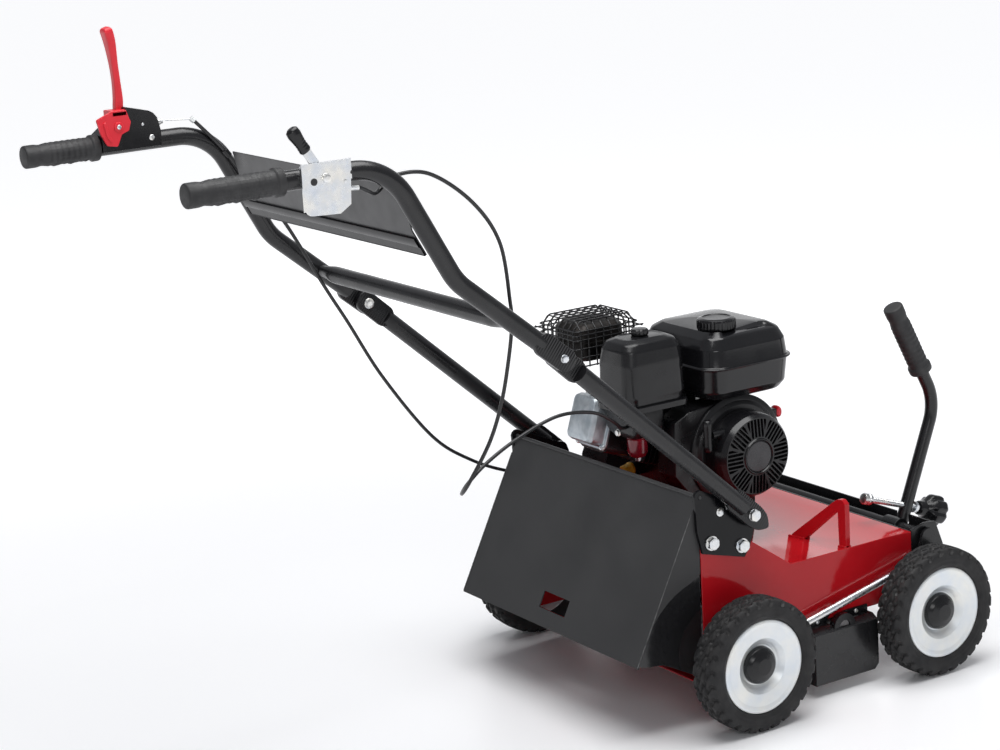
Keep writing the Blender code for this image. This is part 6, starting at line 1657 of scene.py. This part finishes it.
def add_fuel_cap():
    """Turned cap: radius * (1 - 0.045 * wave of the angle) on the skirt."""
    low, high = node_box("fuel_cap")
    base, top = low[2], high[2]
    skirt = rounded([(0, base), (0.0300, base), (0.0300, base + 0.0125), (0.0285, base + 0.0158),
                     (0.0225, top + 0.0002), (0.0205, top - 0.0012), (0, top - 0.0010)], 0.0012, 3)
    ribbed = soft_step(skirt[:, :1], 0.0270, 0.0290)
    ribbed = ribbed * (1 - soft_step(skirt[:, 1:], base + 0.0140, base + 0.0158))
    share = 1 - 0.045 * ribbed * (0.5 + 0.5 * np.cos(all_round(192)[None] * CAP_RIBS))
    cap = turned(skirt, "z", TANK_CAP, 192, share)
    piece("fuel_cap_ribbed", [closed(cap)], "moulded_black", "fuel_cap", replaces=("fuel_cap",), smooth=50)


add_fuel_cap()

# %% [markdown]
# The air cleaner's cover is a tall moulded box with a crowned top, held by one fluted knob. It is a stack
# of rounded boxes that come in slowly towards the top. A Bevel on a cube would give one radius
# everywhere, and here the upright corners and the top edge differ.

# %% Air cleaner
KNOB_FLUTES = 9


def add_air_cleaner():
    """Cover as a loft of smoothed levels, its base ledge, and the knob on its stud."""
    low, high = node_box("air_cleaner_cover")
    centre = (low[:2] + high[:2]) / 2
    half = (high[:2] - low[:2]) / 2
    tall = high[2] - low[2]
    profile = rounded([(0.0, -0.0040), (0.18, -0.0010), (0.20, 0.0), (0.66, -0.0010), (0.86, -0.0040),
                       (0.955, -0.0090), (1.0, -0.020)], 0.03, 6)
    line = resampled(profile * (tall, 1), 46)
    crown = np.linspace(0, 1, 14)[1:]
    levels = [(low[2] + z, half[0] + g, half[1] + g) for z, g in line]
    levels += [(high[2] + 0.0015 * (1 - (1 - s) ** 2) - 0.0015, (half[0] - 0.020) * (1 - s * 0.97),
                (half[1] - 0.020) * (1 - s * 0.97)) for s in crown]
    ledge_levels = ((0.0005, -0.001), (0.0005, 0.0022), (0.0085, 0.0022), (0.0095, 0.0008))
    ledge = box_loft(centre, [(low[2] + z, half[0] + g, half[1] + g) for z, g in ledge_levels], 0.017)
    piece("air_cleaner_shell", [closed(box_loft(centre, levels, 0.019)), closed(ledge)], "moulded_black",
          "chassis", replaces=("air_cleaner_cover",), smooth=50)
    base, top = node_box("air_cleaner_knob")
    profile = rounded([(0, base[2]), (0.0122, base[2]), (0.0136, base[2] + 0.0015), (0.0136, top[2] - 0.0030),
                       (0.0116, top[2] - 0.0006), (0, top[2])], 0.001, 3)
    flute = np.clip(np.cos(all_round(60)[None] * KNOB_FLUTES), 0, 1)
    fluted = 1 - 0.10 * flute * soft_step(profile[:, :1], 0.008, 0.0130)
    piece("air_knob", [closed(turned(profile, "z", centre, 60, fluted))], "moulded_black", "air_cleaner_knob",
          replaces=("air_cleaner_knob",))


add_air_cleaner()

# %% [markdown]
# The carburettor hangs between the air cleaner and the cylinder. Its body is a dark casting, and its
# float bowl is glossy wine red with a bright drain screw. A zinc bar under the tank ties it to the
# blower. The body is a stack of boxes, the bowl is turned, and the bar is an outline drawn out.

# %% Carburettor and tank bar
BOWL = (0.0213, 0.0)
BOWL_TOP = 0.392
SIDE_SCREW_Z = 0.3990
END_SCREW = (0.004, 0.4020)
BAR_LOOP = [(-0.0360, 0.4225), (0.0302, 0.4195), (0.0302, 0.4275), (-0.0360, 0.4315)]
FLANGE_LOOP = [(-0.0300, 0.4290), (0.0240, 0.4270), (0.0240, 0.4362), (-0.0300, 0.4362)]


def add_carburettor():
    """Body as a loft of rounded boxes, a turned bowl, bright screws, and the bar with its bent flange."""
    low, high = node_box("carburetor")
    middle, half = (low + high)[:2] / 2, (high - low)[:2] / 2
    shares = [(BOWL_TOP, 0.70, 0.80), (BOWL_TOP + 0.006, 0.92, 0.92), (BOWL_TOP + 0.012, 1.0, 1.0),
              (high[2] - 0.004, 1.0, 1.0), (high[2], 0.96, 0.90)]
    body = closed(box_loft(middle, [(z, half[0] * u, half[1] * v) for z, u, v in shares], 0.007))
    piece("carburettor_body", [body], "engine_coat", "chassis", replaces=("carburetor",), edge=0.0008)
    profile = rounded([(0, 0.002), (0.0176, 0.002), (0.0176, -0.003), (0.0162, -0.0045), (0.0158, -0.026),
                       (0.0120, -0.033), (0, -0.034)], 0.003, 4) + (0, BOWL_TOP)
    piece("float_bowl", [closed(turned(profile, "z", BOWL, 56))], "bowl_red", "chassis")
    screws = [bolt((*BOWL, BOWL_TOP - 0.0335), (0, 0, -1), 0.0042, 0.0070, 1.4),
              bolt((0.0120, low[1] + 0.0005, SIDE_SCREW_Z), (0, -1, 0), 0.0042, 0.0040, 1.3),
              bolt((high[0] - 0.0005, *END_SCREW), X_AXIS, 0.0036, 0.0034, 1.3)]
    piece("carburettor_screws", screws, "zinc_plate", "chassis")
    bar = prism(rounded_loop(BAR_LOOP, 0.002, 3), "y", 0.1445, 0.1465)
    flange = prism(FLANGE_LOOP, "y", 0.1460, 0.1475)
    piece("tank_bar", [bar, flange], "zinc_plate", "chassis", edge=0.0003)


add_carburettor()

# %% [markdown]
# The muffler is two pressed shells of dull steel with a rolled seam between them. It is a stack of
# rounded boxes, and the seam is a level where they are a little larger for a moment.

# %% Muffler
MUFFLER_LOW = np.array((-0.150, -0.040, 0.492))
MUFFLER_SIZE = np.array((0.085, 0.098, 0.060))
MUFFLER_PROFILE = [(0.0, -0.016), (0.02, -0.008), (0.14, -0.001), (0.46, 0.0), (0.465, 0.0030),
                   (0.535, 0.0030), (0.54, 0.0), (0.86, -0.001), (0.98, -0.008), (1.0, -0.016)]
PIPE_PATH = [(-0.0795, 0.0150, 0.4430), (-0.0795, 0.0290, 0.4860), (-0.0795, 0.0310, 0.5060)]
OUTLET = (-0.010, 0.520)
OUTLET_PROFILE = [(0, -0.1545), (0.0085, -0.1545), (0.0085, -0.150), (0.0085, -0.140), (0, -0.140)]


def add_muffler():
    """Two dull steel shells with a rolled seam, as a loft of rounded boxes, with their pipe and outlet."""
    centre = MUFFLER_LOW[:2] + MUFFLER_SIZE[:2] / 2
    half = MUFFLER_SIZE[:2] / 2 - 0.003
    levels = [(MUFFLER_LOW[2] + t * MUFFLER_SIZE[2], half[0] + g, half[1] + g)
              for t, g in rounded(MUFFLER_PROFILE, 0.004, 3)]
    outlet = turned(rounded(OUTLET_PROFILE, 0.001, 2), "x", OUTLET, 32)
    shells = closed(box_loft(centre, levels, 0.020))
    piece("muffler_shell", [shells, tube(PIPE_PATH, 0.010, 28), closed(outlet)], "muffler_steel", "chassis",
          replaces=("muffler",), smooth=45)


add_muffler()

# %% [markdown]
# The muffler sits in a cage of welded wire. Each wire is a thin tube bent over the top with rounded
# shoulders. Closed rings go round it at five heights, and four straight wires reach a little past the
# corners, as cut wire does. A Wireframe modifier could make it too, but its wires are square.

# %% The muffler's cage
WIRE = 0.00125
CAGE_ROOM = 0.008
CAGE_SLOPE = 0.013
WIRE_END = 0.009


def hoop(path, radius, steps=8):
    """Thin bar along a closed level path."""
    tangent = unit(np.roll(path, -1, 0) - np.roll(path, 1, 0))
    up = np.array((0, 0, 1.0))
    return ring(set_out(path, np.cross(tangent, up)[:, None], up, circle(radius, steps)[None]))


def arch(low, high, across, place):
    """Wire over the cage in the plane where one coordinate, 0 or 1, has a given value."""
    along = 1 - across
    corners = np.empty((6, 3))
    corners[:, across] = place
    corners[:3, along] = low[along] + np.array((0, 0, CAGE_SLOPE))
    corners[3:, along] = high[along] - np.array((CAGE_SLOPE, 0, 0))
    corners[:, 2] = [low[2], high[2] - CAGE_SLOPE, high[2], high[2], high[2] - CAGE_SLOPE, low[2]]
    return tube(rounded(corners, 0.006, 4), WIRE, 8, np.eye(3)[across])


def add_cage():
    """Wires over the muffler in two directions, rings round it at five heights, and four straight ones."""
    low = MUFFLER_LOW - (CAGE_ROOM, CAGE_ROOM, 0.0016)
    high = MUFFLER_LOW + MUFFLER_SIZE + CAGE_ROOM
    middle, half = (low + high) / 2, (high - low) / 2
    wires = [arch(low, high, across, middle[across] + half[across] * share)
             for across, shares in ((1, np.linspace(-0.86, 0.86, 8)), (0, np.linspace(-0.82, 0.82, 7)))
             for share in shares]
    loop = rounded_box(half[0] + WIRE, half[1] + WIRE, 0.007, 4) + middle[:2]
    wires += [hoop(np.column_stack([loop, np.full(len(loop), z)]), WIRE)
              for z in np.linspace(low[2] + 0.002, high[2] - CAGE_SLOPE, 5)]
    z = high[2] - CAGE_SLOPE - 0.006
    for y in (low[1] - 2 * WIRE, high[1] + 2 * WIRE):
        wires.append(tube([(low[0] - WIRE_END, y, z), (high[0] + WIRE_END, y, z)], WIRE, 8, (0, 1, 0)))
    for x in (low[0] - 2 * WIRE, high[0] + 2 * WIRE):
        wires.append(tube([(x, low[1] - WIRE_END, z), (x, high[1] + WIRE_END, z)], WIRE, 8))
    piece("cage_wires", wires, "black_coat", "chassis", replaces=("muffler_guard",), smooth=60)


add_cage()

# %% [markdown]
# The rocker cover is bare cast aluminium at the cylinder's end, the brightest thing on the engine. It is
# a loft square to the tilted cylinder, with four bolts at its corners.

# %% Rocker cover
CYLINDER_TILT = math.radians(18.0)
HEAD_X = -0.058
HEAD_END = 0.170
OUT_OF_CYLINDER = np.array((0, -math.cos(CYLINDER_TILT), math.sin(CYLINDER_TILT)))
UP_CYLINDER = np.array((0, math.sin(CYLINDER_TILT), math.cos(CYLINDER_TILT)))
LID_LEVELS = [(0.0003, 0.0), (0.0043, 0.0), (0.0046, 0.0042), (0.0100, 0.0046), (0.0250, 0.0056),
              (0.0335, 0.0085), (0.0363, 0.0150)]


def add_rocker_cover():
    """Stepped lid of (rise, inset) levels: a flange, a dished body and a crowned end, with corner bolts."""
    levels = rounded(LID_LEVELS, 0.0030, 4)
    loops = np.stack([rounded_box(0.0360 - inset, 0.0430 - inset * 1.15, 0.0100 - inset * 0.2, 6)
                      for inset in levels[:, 1]])
    foot = np.array((HEAD_X, *CRANK)) + OUT_OF_CYLINDER * HEAD_END
    lid = closed(set_out(foot + OUT_OF_CYLINDER * levels[:, :1], X_AXIS, UP_CYLINDER, loops))
    piece("rocker_lid", [lid], "cast_aluminium", "chassis", replaces=("rocker_cover",), smooth=50)
    seat = foot + OUT_OF_CYLINDER * 0.0040
    heads = [bolt(seat + X_AXIS * u + UP_CYLINDER * v, OUT_OF_CYLINDER, 0.0036, 0.0046, 1.25)
             for u in (-0.0318, 0.0318) for v in (-0.0385, 0.0385)]
    piece("rocker_bolts", heads, "zinc_plate", "chassis")


add_rocker_cover()

# %% [markdown]
# The oil filler's plug is the one yellow part, so that it is found at once. It is turned about the
# machine's long axis, and the ribs of its grip are a wave of the angle.

# %% Oil plug
PLUG_RIBS = 12


def add_oil_plug():
    """Yellow filler plug: a flange and a ribbed grip, turned about the machine's long axis."""
    low, high = node_box("oil_plug")
    centre = ((low[0] + high[0]) / 2, (low[2] + high[2]) / 2)
    start = high[1]
    profile = rounded([(0, start), (0.0112, start), (0.0112, start - 0.0042), (0.0088, start - 0.0060),
                       (0.0086, start - 0.0162), (0.0066, start - 0.0190), (0, start - 0.0190)], 0.0012, 3)
    held = 1 - soft_step(profile[:, 1:], start - 0.0080, start - 0.0055)
    share = 1 - 0.09 * held * (0.5 + 0.5 * np.cos(all_round(72)[None] * PLUG_RIBS))
    piece("oil_plug_yellow", [closed(turned(profile, "y", centre, 72, share))], "plug_yellow", "chassis",
          replaces=("oil_plug",))


add_oil_plug()

# %% [markdown]
# The starter's grip is what a hand pulls to turn the engine over: an upright bar, a little thicker at
# both ends so that it stays in the fingers. That is a profile turned about a line between two points.

# %% Starter grip
GRIP_PROFILE = [(0, 0.0040), (0.03, 0.0062), (0.08, 0.0074), (0.20, 0.0070), (0.50, 0.0064), (0.80, 0.0070),
                (0.92, 0.0074), (0.97, 0.0062), (1.0, 0.0040)]


def add_starter_grip():
    """Upright bar with flared ends in front of the rope's guide."""
    low, high = node_box("starter_grip")
    centre = (low + high) / 2
    bar = stepped_bar((*centre[:2], low[2]), (*centre[:2], high[2]), GRIP_PROFILE, 40)
    piece("starter_handle", [bar], "moulded_black", "starter_grip", replaces=("starter_grip",))


add_starter_grip()

# %% [markdown]
# ## Under the deck
# The rotor, its bearings and the belt drive are seen from below and behind. They keep their CAD shapes,
# with worn steel on the blades and rubber on the belt.

# %% Rotor and belt drive
UNDER_DECK = {"blade_steel": ("rotor", "rotor_pulley", "drive_pulley", "idler_pulley"),
              "zinc_plate": ("idler_arm",), "engine_coat": ("rotor_bearing_right", "rotor_bearing_left")}
for under_finish, under_nodes in UNDER_DECK.items():
    for under_node in under_nodes:
        dress(under_node, under_finish, 0.0004)
dress("drive_belt", "grip_rubber", 0.0006)
